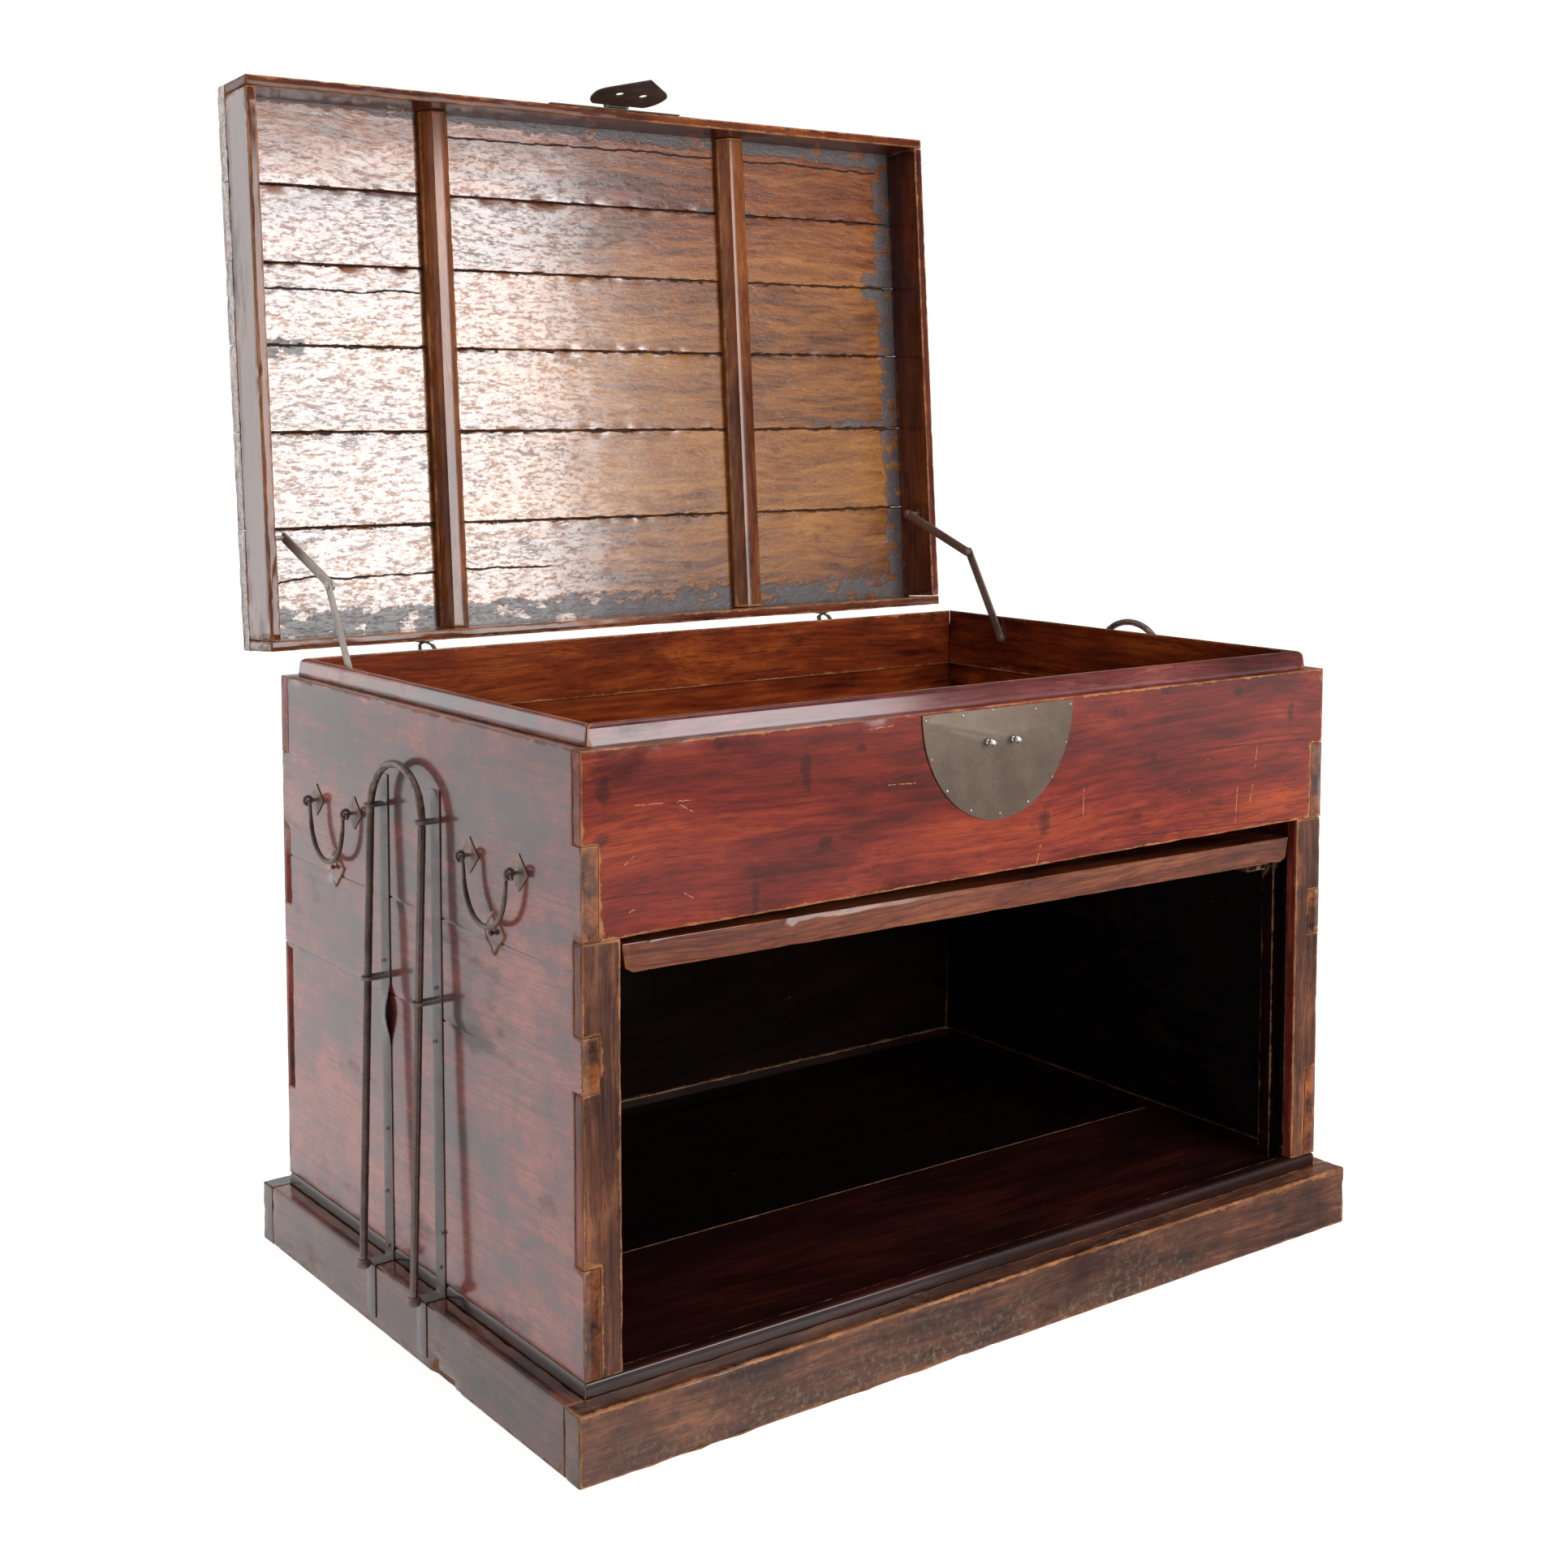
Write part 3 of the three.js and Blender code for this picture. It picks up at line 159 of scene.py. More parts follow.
class Finish:
    def __init__(self, name, tree=None):
        if tree is None:
            self.material = bpy.data.materials.new(name)
            self.material.use_nodes = True
            tree = self.material.node_tree
        self.tree = tree
        self.tree.nodes.clear()

    def node(self, kind, settings=None, values=None, output=0):
        made = self.tree.nodes.new(kind)
        for name, value in (settings or {}).items():
            if name == "stops":
                self.fillRamp(made.color_ramp, value)
            else:
                setattr(made, name, value)
        for name, value in (values or {}).items():
            if isinstance(value, Wire):
                self.tree.links.new(value.socket, made.inputs[name])
            else:
                made.inputs[name].default_value = value
        return Wire(self, made.outputs[output])

    def fillRamp(self, ramp, stops):
        while len(ramp.elements) < len(stops):
            ramp.elements.new(1)
        for element, (place, colour) in zip(ramp.elements, stops):
            element.position = place
            element.color = (*colour, 1)

    def place(self):
        return self.node("ShaderNodeTexCoord", output="Object")

    def stretched(self, vector, scale, shift=(0, 0, 0), turn=(0, 0, 0)):
        values = {0: vector, "Scale": scale, "Location": shift, "Rotation": turn}
        return self.node("ShaderNodeMapping", {}, values)

    def clouds(self, vector, scale, detail, rough, distort):
        values = {"Vector": vector, "Scale": scale, "Detail": detail, "Roughness": rough}
        return self.node("ShaderNodeTexNoise", {}, {**values, "Distortion": distort})

    def swayed(self, vector, sway):
        values = {"Vector": vector, "Scale": sway["scale"], "Detail": sway["detail"]}
        push = self.node("ShaderNodeTexNoise", {}, values, output="Color")
        return self.moved(vector, push, sway["push"])

    def texture(self, vector, how, grain="x"):
        shift = how.get("shift", (0, 0, 0))
        turn = how.get("turn", (0, 0, 0))
        if "scales" in how:
            vector = self.stretched(vector, how["scales"], shift, turn)
        elif "wide" in how:
            vector = self.stretched(vector, grainScale(grain, how["long"], how["wide"]), shift, turn)
        scale, distort = how.get("scale", 1), how.get("distort", 0)
        made = self.clouds(vector, scale, how["detail"], how["rough"], distort)
        return self.step(made, *how["cut"]) if "cut" in how else made

    def step(self, value, low, high):
        values = {"Value": value, "From Min": low, "From Max": high}
        return self.node("ShaderNodeMapRange", {"interpolation_type": "SMOOTHSTEP"}, values)

    def ramp(self, value, stops):
        return self.node("ShaderNodeValToRGB", {"stops": stops}, {"Fac": value})

    def mixed(self, factor, first, second):
        first, second = ((*c, 1) if isinstance(c, tuple) else c for c in (first, second))
        settings = {"data_type": "RGBA"}
        return self.node("ShaderNodeMix", settings, {0: factor, 6: first, 7: second}, output=2)

    def between(self, factor, first, second):
        return self.node("ShaderNodeMix", {"data_type": "FLOAT"}, {0: factor, 2: first, 3: second})

    def moved(self, vector, push, amount):
        middle = (0.5, 0.5, 0.5)
        centred = self.node("ShaderNodeVectorMath", {"operation": "SUBTRACT"}, {0: push, 1: middle})
        scaled = self.node("ShaderNodeVectorMath", {"operation": "SCALE"}, {0: centred, "Scale": amount})
        return self.node("ShaderNodeVectorMath", {"operation": "ADD"}, {0: vector, 1: scaled})

    def axis(self, vector, letter):
        return self.node("ShaderNodeSeparateXYZ", {}, {0: vector}, output="xyz".index(letter))

    def length(self, across, up):
        return (across * across + up * up).power(0.5)

    def toLine(self, x, z, start, end):
        (left, low), (right, high) = start, end
        spread = (right - left) ** 2 + (high - low) ** 2
        along = (x - left) * ((right - left) / spread) + (z - low) * ((high - low) / spread)
        along = along.higher(0).lower(1)
        return self.length(x - left - along * (right - left), z - low - along * (high - low))

    def facing(self, letter):
        normal = self.node("ShaderNodeAttribute", {"attribute_name": "facing"}, {}, output="Vector")
        return self.axis(normal, letter)

    def attribute(self, name):
        return self.node("ShaderNodeAttribute", {"attribute_name": name}, {}, output="Fac")

    def bump(self, height, distance):
        values = {"Height": height, "Distance": distance, "Strength": 1}
        return self.node("ShaderNodeBump", {}, values)

    def principled(self, values):
        return self.surface(self.node("ShaderNodeBsdfPrincipled", {}, values))

    def surface(self, shader):
        out = self.tree.nodes.new("ShaderNodeOutputMaterial")
        self.tree.links.new(shader.socket, out.inputs["Surface"])
        return self.material


room = {
    "airLevel": 0.40,
    "airShine": 0.10,
    "airLean": 0.6,
    "airBand": (0.0, 0.6),
    "floorSize": 60,
    "floorColour": 0.4,
    "floorLift": 0.86,
    "floorShine": 0.95,
    "floorLean": 0.8,
    "floorBand": (-1.2, 0.4),
    "rightShine": 1.2,
    "rightBand": (1.4, 4.2),
}
white = (1, 1, 1, 1)


def rays(finish):
    path = finish.tree.nodes.new("ShaderNodeLightPath")
    kinds = ("Is Camera Ray", "Is Glossy Ray", "Is Transmission Ray")
    return [Wire(finish, path.outputs[kind]) for kind in kinds]


def makeAir():
    world = bpy.data.worlds.new("studio")
    bpy.context.scene.world = world
    world.use_nodes = True
    air = Finish("studio", world.node_tree)
    seen, shiny, through = rays(air)
    toward = air.node("ShaderNodeTexCoord", output="Generated")
    across = air.axis(toward, "y") - room["airLean"] * air.axis(toward, "x")
    behind = air.step(across, *room["airBand"])
    mirrored = room["airShine"] + (1 - room["airShine"]) * behind
    plainAir = room["airLevel"] * (1 - shiny) + shiny * mirrored
    level = air.between((seen + through).lower(1), plainAir, 1)
    glow = air.node("ShaderNodeBackground", {}, {"Color": white, "Strength": level})
    out = air.tree.nodes.new("ShaderNodeOutputWorld")
    air.tree.links.new(glow.socket, out.inputs["Surface"])


def makeFloor():
    bpy.ops.mesh.primitive_plane_add(size=room["floorSize"], location=(0, 0, 0))
    floor = bpy.context.object
    floor.name = "floor"
    paper = Finish("floorPaper")
    seen, shiny, through = rays(paper)
    spot = paper.place()
    x = paper.axis(spot, "x")
    behind = paper.step(paper.axis(spot, "y") - room["floorLean"] * x, *room["floorBand"])
    rightward = room["rightShine"] * paper.step(x, *room["rightBand"])
    mirrored = room["floorShine"] * shiny * behind.higher(rightward)
    lifted = room["floorLift"] * (seen + through) + mirrored
    grey = room["floorColour"]
    plain = paper.node("ShaderNodeBsdfDiffuse", {}, {"Color": (grey, grey, grey, 1)})
    lift = paper.node("ShaderNodeEmission", {}, {"Color": white, "Strength": lifted})
    both = paper.node("ShaderNodeAddShader", {}, {0: plain, 1: lift})
    floor.data.materials.append(paper.surface(both))


makeCamera()
makeLamps()
makeAir()
makeFloor()
report("camera, lamps and room made")


# finishes for lacquered wood, bare planks and iron

def grainScale(grain, lengthwise, crosswise):
    return tuple(lengthwise if letter == grain else crosswise for letter in "xyz")


def shifted(seed):
    draw = random.Random(seed)
    return tuple(draw.uniform(-20, 20) for _ in range(3))


def blend(weights, wires):
    return sum(weight * wires[name] for name, weight in weights.items())


toneStops = (0.40, 0.50, 0.62)


def threeTones(f, tone, look):
    return f.ramp(tone, list(zip(toneStops, (look["deep"], look["body"], look["bright"]))))


lacquer = {
    "grain": "x",
    "deep": (0.070, 0.007, 0.0045),
    "body": (0.19, 0.018, 0.009),
    "bright": (0.36, 0.055, 0.014),
    "stain": (0.018, 0.005, 0.004),
    "bare": (0.48, 0.21, 0.085),
    "stains": 0.6,
    "wear": 0.8,
    "flecks": 0.5,
    "rough": 0.42,
    "shine": 0.06,
    "coat": 0.8,
    "coatRough": 0.12,
    "relief": 0.3,
    "dust": 0.0,
    "inside": None,
    "mottling": 0.0,
    "knots": [],
    "cracks": [],
    "scratches": [],
    "ends": None,
}

lacquerGrain = {
    "broad": {"long": 2.0, "wide": 7, "detail": 3, "rough": 0.6},
    "mottle": {"long": 7, "wide": 30, "detail": 5, "rough": 0.68},
    "lines": {"long": 4, "wide": 150, "detail": 4, "rough": 0.6},
    "pores": {"long": 30, "wide": 600, "detail": 2, "rough": 0.5},
    "veins": {"long": 3, "wide": 240, "shift": (4, 4, 4), "detail": 3, "rough": 0.6, "cut": (0.54, 0.68)},
    "blots": {"long": 3, "wide": 8, "shift": (3, 1, 7), "detail": 6, "rough": 0.72, "cut": (0.55, 0.68)},
    "smears": {"long": 22, "wide": 40, "shift": (1, 8, 2), "detail": 4, "rough": 0.6, "cut": (0.62, 0.72)},
}

lacquerSpecks = {
    "sway": {"scale": 2.2, "detail": 2, "push": 0.05},
    "cloudy": {"scale": 13, "detail": 6, "rough": 0.72},
    "fine": {"scale": 60, "detail": 4, "rough": 0.7},
    "ragged": {"scale": 45, "detail": 6, "rough": 0.75},
    "edgeTone": {"scale": 16, "detail": 4, "rough": 0.7, "cut": (0.4, 0.6)},
    "flecks": {"long": 60, "wide": 160, "shift": (5, 5, 5), "turn": (0.3, 0.5, 0.2),
               "detail": 3, "rough": 0.5, "cut": (0.745, 0.77)},
    "fleckAreas": {"scale": 6, "detail": 3, "rough": 0.6, "cut": (0.5, 0.62)},
    "scratched": {"scale": 210, "detail": 3, "rough": 0.6, "cut": (0.40, 0.52)},
    "dust": {"scale": 110, "detail": 5, "rough": 0.75, "cut": (0.48, 0.66)},
    "dustAreas": {"scale": 7, "detail": 3, "rough": 0.6, "cut": (0.42, 0.6)},
}

lacquerShares = {
    "tone": {"mottle": 0.36, "broad": 0.42, "lines": 0.24},
    "toneDrop": 0.02,
    "pores": 0.5,
    "poreCut": (0.52, 0.66),
    "veins": 0.55,
    "smears": 0.6,
    "height": {"lines": 0.45, "mottle": 0.8, "pores": 0.06, "bare": -0.5, "flecks": -0.3},
    "rough": {"mottle": 0.25, "bare": 0.25, "blots": 0.15, "dull": 0.4},
    "polish": 1.1,
    "blotPolish": 0.35,
}

lacquerMarks = {
    "knot": 0.6,
    "knotRagged": 3.6,
    "knotRim": (0.3, 1.5),
    "crack": 0.7,
    "crackRagged": 0.006,
    "crackRim": (0.0003, 0.0012),
    "scratchRagged": 0.004,
    "scratchRim": (0.0002, 0.0008),
    "edgeRagged": 1.6,
    "edgeCut": (0.62, 0.80),
    "edgeDark": 0.45,
    "endCut": (0.6, 0.8),
}

# height at which the painted shade on the lower compartment's inner walls gives way to the till's own red
innerWall = {"ragged": 0.01, "tillLevel": (0.50, 0.515), "unworn": 0.7}
dust = {"colour": (0.26, 0.19, 0.12), "top": (0.0, 0.055), "above": 0.35, "bare": 0.6}


def grainColour(f, here, wood, look):
    shares = lacquerShares
    cloudy = f.texture(here, lacquerSpecks["cloudy"]) - 0.5
    tone = blend(shares["tone"], wood) - shares["toneDrop"] + look["mottling"] * cloudy
    colour = threeTones(f, tone, look)
    colour = f.mixed(shares["pores"] * f.step(wood["pores"], *shares["poreCut"]), colour, look["deep"])
    colour = f.mixed(shares["veins"] * wood["veins"], colour, look["deep"])
    colour = f.mixed(look["stains"] * wood["blots"], colour, look["stain"])
    colour = f.mixed(shares["smears"] * look["stains"] * wood["smears"], colour, look["stain"])
    return tone, colour


def knotsAndCracks(f, colour, x, z, fine, look):
    marks = lacquerMarks
    for across, up, half, tall in look["knots"]:
        reach = f.length((x - across) * (1 / half), (z - up) * (1 / tall))
        around = f.step(reach + marks["knotRagged"] * fine, *marks["knotRim"])
        colour = f.mixed(marks["knot"] - marks["knot"] * around, colour, look["stain"])
    for start, end in look["cracks"]:
        away = f.toLine(x, z + marks["crackRagged"] * fine, start, end)
        crack = 1 - f.step(away, *marks["crackRim"])
        colour = f.mixed(marks["crack"] * crack, colour, look["stain"])
    return colour


def wornEdges(f, here, look):
    marks = lacquerMarks
    ragged = f.texture(here, lacquerSpecks["ragged"]) - 0.5
    edge = f.attribute("wear") + marks["edgeRagged"] * ragged
    bare = f.step(edge, *marks["edgeCut"]) * look["wear"]
    shade = tuple(marks["edgeDark"] * c for c in look["bare"])
    return bare, f.mixed(f.texture(here, lacquerSpecks["edgeTone"]), shade, look["bare"])


def flecksAndScratches(f, here, x, z, fine, look):
    flecks = f.texture(here, lacquerSpecks["flecks"], look["grain"])
    flecks = flecks * f.texture(here, lacquerSpecks["fleckAreas"]) * look["flecks"]
    for start, end in look["scratches"]:
        broken = f.texture(here, lacquerSpecks["scratched"])
        away = f.toLine(x, z + lacquerMarks["scratchRagged"] * fine, start, end)
        flecks = flecks.higher(broken - broken * f.step(away, *lacquerMarks["scratchRim"]))
    return flecks


# inner faces below the till floor are painted near black as the lower compartment's painted shade; inner
# faces above it take the till's own red
def innerLook(f, spot, wood, tone, look):
    inner = look["inside"]
    inward = f.step(f.axis(spot, inner["axis"]), inner["from"], inner["to"])
    low = {**lacquer, **inner["lowLook"]}
    high = {**lacquer, **inner["highLook"]}
    height = f.axis(spot, "z") + innerWall["ragged"] * wood["mottle"]
    upper = f.step(height, *innerWall["tillLevel"])
    colour = f.mixed(upper, threeTones(f, tone, low), threeTones(f, tone, high))
    gloss = f.between(inward, look["coat"], f.between(upper, low["coat"], high["coat"]))
    return inward, colour, gloss, inward * (1 - upper)


def dusted(f, here, z):
    dusty = f.texture(here, lacquerSpecks["dust"]) * f.texture(here, lacquerSpecks["dustAreas"])
    low = 1 - f.step(z, *dust["top"])
    return dusty * (dust["above"] + (1 - dust["above"]) * low)


def lacquerFinish(name, seed, **changes):
    look = {**lacquer, **changes}
    f = Finish(name)
    spot = f.place()
    x, z = f.axis(spot, "x"), f.axis(spot, "z")
    here = f.stretched(spot, (1, 1, 1), shifted(seed))
    wavy = f.swayed(here, lacquerSpecks["sway"])
    wood = {key: f.texture(wavy, how, look["grain"]) for key, how in lacquerGrain.items()}
    tone, colour = grainColour(f, here, wood, look)
    fine = f.texture(here, lacquerSpecks["fine"]) - 0.5
    colour = knotsAndCracks(f, colour, x, z, fine, look)
    bare, edgeTone = wornEdges(f, here, look)
    gloss, dull = look["coat"], 0
    # inner faces: painted shade of the lower compartment below the till, till red above
    if look["inside"]:
        inward, innerColour, gloss, dull = innerLook(f, spot, wood, tone, look)
        colour = f.mixed(inward, colour, innerColour)
        bare = bare * (1 - innerWall["unworn"] * inward)
    if look["ends"]:
        endways = f.step(f.facing(look["ends"]["axis"]).size(), *lacquerMarks["endCut"])
        colour = f.mixed(endways, colour, threeTones(f, tone, look["ends"]))
    colour = f.mixed(bare, colour, edgeTone)
    flecks = flecksAndScratches(f, here, x, z, fine, look)
    colour = f.mixed(flecks, colour, look["bare"])
    height = blend(lacquerShares["height"], {**wood, "bare": bare, "flecks": flecks})
    if look["dust"]:
        dusty = dusted(f, here, z)
        colour = f.mixed(look["dust"] * dusty, colour, dust["colour"])
        bare = (bare + look["dust"] * dust["bare"] * dusty).lower(1)
    rough = blend(lacquerShares["rough"], {**wood, "bare": bare, "dull": dull})
    polish = lacquerShares["polish"] * (1 - bare) - lacquerShares["blotPolish"] * wood["blots"]
    return f.principled({
        "Base Color": colour, "Roughness": look["rough"] - 0.5 * lacquerShares["rough"]["mottle"] + rough,
        "Coat Weight": (gloss * polish).higher(0), "Coat Roughness": look["coatRough"],
        "Specular IOR Level": look["shine"], "Normal": f.bump(height, look["relief"] / perMetre)})


plank = {
    "deep": (0.12, 0.032, 0.006),
    "body": (0.29, 0.098, 0.015),
    "bright": (0.44, 0.18, 0.035),
    "gap": (0.012, 0.006, 0.005),
    "grime": (0.035, 0.028, 0.028),
    "outer": {"deep": (0.06, 0.007, 0.005), "body": (0.18, 0.024, 0.014), "bright": (0.34, 0.07, 0.03)},
    "upper": {"deep": (0.10, 0.020, 0.006), "body": (0.27, 0.070, 0.015), "bright": (0.42, 0.14, 0.035)},
    "ridges": 0.0014,
    "bend": 1.6,
    "rough": 0.16,
    "coatBend": 1.95,
    "coatRough": 0.15,
    "edges": (0.8, 1.5),
    "patches": [{"height": 1.245, "half": 0.020, "from": 0.475, "to": 0.60},
                {"height": 1.031, "half": 0.003, "from": 0.37, "to": 0.53},
                {"height": 1.134, "half": 0.011, "from": -0.60, "to": -0.452},
                {"height": 1.345, "half": 0.003, "from": 0.17, "to": 0.27}],
    "splits": [{"height": 1.209, "from": -0.52, "to": -0.28},
               {"height": 0.832, "from": -0.52, "to": -0.10},
               {"height": 1.424, "from": -0.25, "to": 0.52}],
}

plankGrain = {
    "sway": {"scale": 3.0, "detail": 3, "push": 0.05},
    "broad": {"long": 2, "wide": 6, "detail": 3, "rough": 0.6},
    "streak": {"long": 8, "wide": 80, "detail": 6, "rough": 0.7},
    "ridges": {"long": 30, "wide": 130, "detail": 5, "rough": 0.68, "distort": 0.4},
    "crackle": {"long": 130, "wide": 260, "detail": 4, "rough": 0.65, "distort": 0.3},
    "grains": {"long": 45, "wide": 170, "shift": (6, 6, 6), "detail": 4, "rough": 0.7},
    "ragged": {"long": 1, "wide": 1, "shift": (7, 7, 7), "scale": 26, "detail": 6, "rough": 0.7},
    "jagged": {"scales": (55, 9, 170), "shift": (2, 2, 2), "detail": 5, "rough": 0.7},
    "wobble": {"long": 12, "wide": 1, "detail": 4, "rough": 0.6},
    "leftover": {"long": 30, "wide": 60, "shift": (2, 2, 9), "detail": 4, "rough": 0.6, "cut": (0.56, 0.6)},
    "grimeTone": {"scale": 60, "detail": 5, "rough": 0.7},
}

plankShares = {
    "tone": {"broad": 0.45, "streak": 0.55},
    "ridges": 0.5,
    "shine": {"grains": 0.55, "crackle": 0.45},
    "shineCut": (0.42, 0.54),
    "leastShine": 0.18,
    "grimeShine": 0.75,
    "outerShine": 0.7,
    "height": {"ridges": 0.8, "streak": 0.4, "crackle": 0.30, "gap": -0.9, "grime": -0.7},
    "grimeCrackle": 0.4,
    "rough": {"crackle": 0.08, "grime": 0.14, "gap": 0.6},
    "keptClear": 0.85,
    "grimeLight": 4.5,
}

plankBands = {
    "upper": (1.12, 1.40),
    "ridges": (0.46, 0.36),
    "outside": (-0.3, 0.3),
    "flat": (0.5, 0.8),
    "gap": (0.0012, 0.0028),
    "gapRagged": 0.018,
    "split": (0.0007, 0.0018),
    "splitRagged": 0.004,
    "splitWobble": 0.02,
    "splitEnd": 0.01,
    "bottom": (0.786, 0.792),
    "right": (0.503, 0.511),
    "sideRagged": 0.05,
    "top": (1.437, 1.442),
    "topRagged": 0.03,
    "topLean": 0.02,
    "patchRim": 0.003,
    "patchEnd": 0.006,
}


def plankGaps(f, here, x, z, flat, look):
    bands = plankBands
    jagged = f.texture(here, plankGrain["jagged"]) - 0.5
    low, high = look["edges"]
    toEdge = (z - low).lower(high - z)
    gap = flat - flat * f.step(toEdge + bands["gapRagged"] * jagged, *bands["gap"])
    wobble = bands["splitWobble"] * (f.texture(here, plankGrain["wobble"]) - 0.5)
    for split in look["splits"]:
        away = (z - split["height"] + wobble).size() + bands["splitRagged"] * jagged
        starts = f.step(x, split["from"], split["from"] + bands["splitEnd"])
        stops = f.step(x, split["to"] - bands["splitEnd"], split["to"])
        gap = gap.higher((1 - f.step(away, *bands["split"])) * (starts * (1 - stops)))
    return gap


def plankGrime(f, here, x, z, look):
    bands = plankBands
    ragged = f.texture(here, plankGrain["ragged"]) - 0.5
    sideways = x + bands["sideRagged"] * ragged
    bottom = 1 - f.step(z + bands["sideRagged"] * ragged, *bands["bottom"])
    rightward = f.step(sideways, *bands["right"])
    topward = f.step(z + bands["topRagged"] * ragged + bands["topLean"] * x, *bands["top"])
    grime = bottom.higher(rightward).higher(topward)
    for patch in look["patches"]:
        away = (z - patch["height"]).size() + bands["topRagged"] * ragged
        tall = 1 - f.step(away, patch["half"], patch["half"] + bands["patchRim"])
        starts = f.step(sideways, patch["from"], patch["from"] + bands["patchEnd"])
        stops = f.step(sideways, patch["to"] - bands["patchEnd"], patch["to"])
        grime = grime.higher(tall * (starts * (1 - stops)))
    return grime


def plankFinish(name, seed, **changes):
    look = {**plank, **changes}
    shares = plankShares
    f = Finish(name)
    spot = f.place()
    x, z = f.axis(spot, "x"), f.axis(spot, "z")
    here = f.stretched(spot, (1, 1, 1), shifted(seed))
    wavy = f.swayed(here, plankGrain["sway"])
    wood = {key: f.texture(wavy, plankGrain[key]) for key in ("broad", "streak", "ridges", "grains")}
    wood["crackle"] = f.texture(here, plankGrain["crackle"])
    tone = blend(shares["tone"], wood)
    upper = f.step(z, *plankBands["upper"])
    colour = f.mixed(upper, threeTones(f, tone, look), threeTones(f, tone, look["upper"]))
    furrows = f.step(wood["ridges"], *plankBands["ridges"])
    colour = f.mixed(shares["ridges"] * furrows, colour, look["deep"])
    outside = f.step(f.facing("y"), *plankBands["outside"])
    colour = f.mixed(outside, colour, threeTones(f, tone, look["outer"]))
    flat = f.step(f.facing("y").size(), *plankBands["flat"])
    gap = plankGaps(f, here, x, z, flat, look)
    leftover = f.texture(here, plankGrain["leftover"])
    grime = plankGrime(f, here, x, z, look) * flat * (1 - outside) * (1 - shares["keptClear"] * leftover)
    # the residue's pale lilac-grey tone is partly its own colour and partly a painted sheen, while its coat
    # is cut down
    paleGrimeAndSheen = tuple(shares["grimeLight"] * c for c in look["grime"])
    grimeTone = f.mixed(f.texture(here, plankGrain["grimeTone"]), look["grime"], paleGrimeAndSheen)
    colour = f.mixed(grime, colour, grimeTone)
    colour = f.mixed(gap, colour, look["gap"])
    wood = {**wood, "gap": gap, "grime": grime}
    height = blend(shares["height"], wood) + shares["grimeCrackle"] * grime * wood["crackle"]
    grains = f.step(blend(shares["shine"], wood), *shares["shineCut"])
    shine = shares["leastShine"] + (1 - shares["leastShine"]) * grains
    shine = shine * (1 - shares["grimeShine"] * grime) * (1 - shares["outerShine"] * outside)
    return f.principled({
        "Base Color": colour, "Roughness": look["rough"] + blend(shares["rough"], wood),
        "IOR": look["bend"], "Coat Weight": (shine - gap).higher(0), "Coat Roughness": look["coatRough"],
        "Coat IOR": look["coatBend"], "Normal": f.bump(height, look["ridges"])})


ironLook = {
    "dark": (0.050, 0.033, 0.028),
    "mid": (0.17, 0.12, 0.10),
    "rust": (0.15, 0.065, 0.042),
    "rusty": 0.6,
    "rough": 0.42,
    "metal": 0.45,
    "pits": 1.0,
    "steel": None,
}

ironGrain = {
    "broad": {"scale": 25, "detail": 4, "rough": 0.65},
    "pits": {"scale": 330, "detail": 4, "rough": 0.7},
    "rust": {"scale": 60, "detail": 5, "rough": 0.7, "cut": (0.5, 0.68)},
}

ironShares = {
    "tone": {"broad": 0.6, "pits": 0.4},
    "stops": (0.40, 0.60),
    "edge": 0.5,
    "edgeLight": 2.2,
    "rough": {"pits": 0.25, "rusty": 0.2},
    "rustMetal": 0.5,
    "height": {"pits": 1, "broad": 0.8},
    "relief": 0.6,
    "shine": 0.5,
}

steel = {"colour": (0.55, 0.52, 0.48), "rough": 0.22, "metal": 1.0, "rim": 0.0006}


def ironFinish(name, seed, **changes):
    look = {**ironLook, **changes}
    shares = ironShares
    f = Finish(name)
    spot = f.place()
    here = f.stretched(spot, (1, 1, 1), shifted(seed))
    iron = {key: f.texture(here, ironGrain[key]) for key in ("broad", "pits")}
    stops = list(zip(shares["stops"], (look["dark"], look["mid"])))
    colour = f.ramp(blend(shares["tone"], iron), stops)
    iron["rusty"] = f.texture(here, ironGrain["rust"]) * look["rusty"]
    colour = f.mixed(iron["rusty"], colour, look["rust"])
    rubbed = tuple(min(1, shares["edgeLight"] * c) for c in look["mid"])
    colour = f.mixed(shares["edge"] * f.attribute("wear").power(2), colour, rubbed)
    rough = look["rough"] - 0.5 * shares["rough"]["pits"] + blend(shares["rough"], iron)
    metal = look["metal"] - shares["rustMetal"] * iron["rusty"]
    if look["steel"]:
        bright = 1 - f.step(f.axis(spot, "y"), look["steel"], look["steel"] + steel["rim"])
        colour = f.mixed(bright, colour, steel["colour"])
        rough = f.between(bright, rough, steel["rough"])
        metal = f.between(bright, metal, steel["metal"])
    relief = shares["relief"] * look["pits"] / perMetre
    return f.principled({
        "Base Color": colour, "Roughness": rough, "Metallic": metal,
        "Specular IOR Level": shares["shine"], "Normal": f.bump(blend(shares["height"], iron), relief)})


# turning a plain solid into the worn piece that stands for it

def selectOnly(piece):
    bpy.ops.object.select_all(action="DESELECT")
    piece.select_set(True)
    bpy.context.view_layer.objects.active = piece


merging = {"gap": 0.00002, "flatDegrees": 1}


def mergedCopy(name, newName):
    piece = bpy.data.objects.new(newName, nodes[name].data.copy())
    bpy.context.scene.collection.objects.link(piece)
    selectOnly(piece)
    bpy.ops.mesh.customdata_custom_splitnormals_clear()
    bpy.ops.object.mode_set(mode="EDIT")
    bpy.ops.mesh.select_all(action="SELECT")
    bpy.ops.mesh.remove_doubles(threshold=merging["gap"])
    bpy.ops.mesh.dissolve_limited(angle_limit=math.radians(merging["flatDegrees"]))
    bpy.ops.object.mode_set(mode="OBJECT")
    return piece


def addBevel(piece, width, degrees):
    angle = math.radians(degrees)
    addModifier(piece, "BEVEL", width=width, segments=2, limit_method="ANGLE", angle_limit=angle)


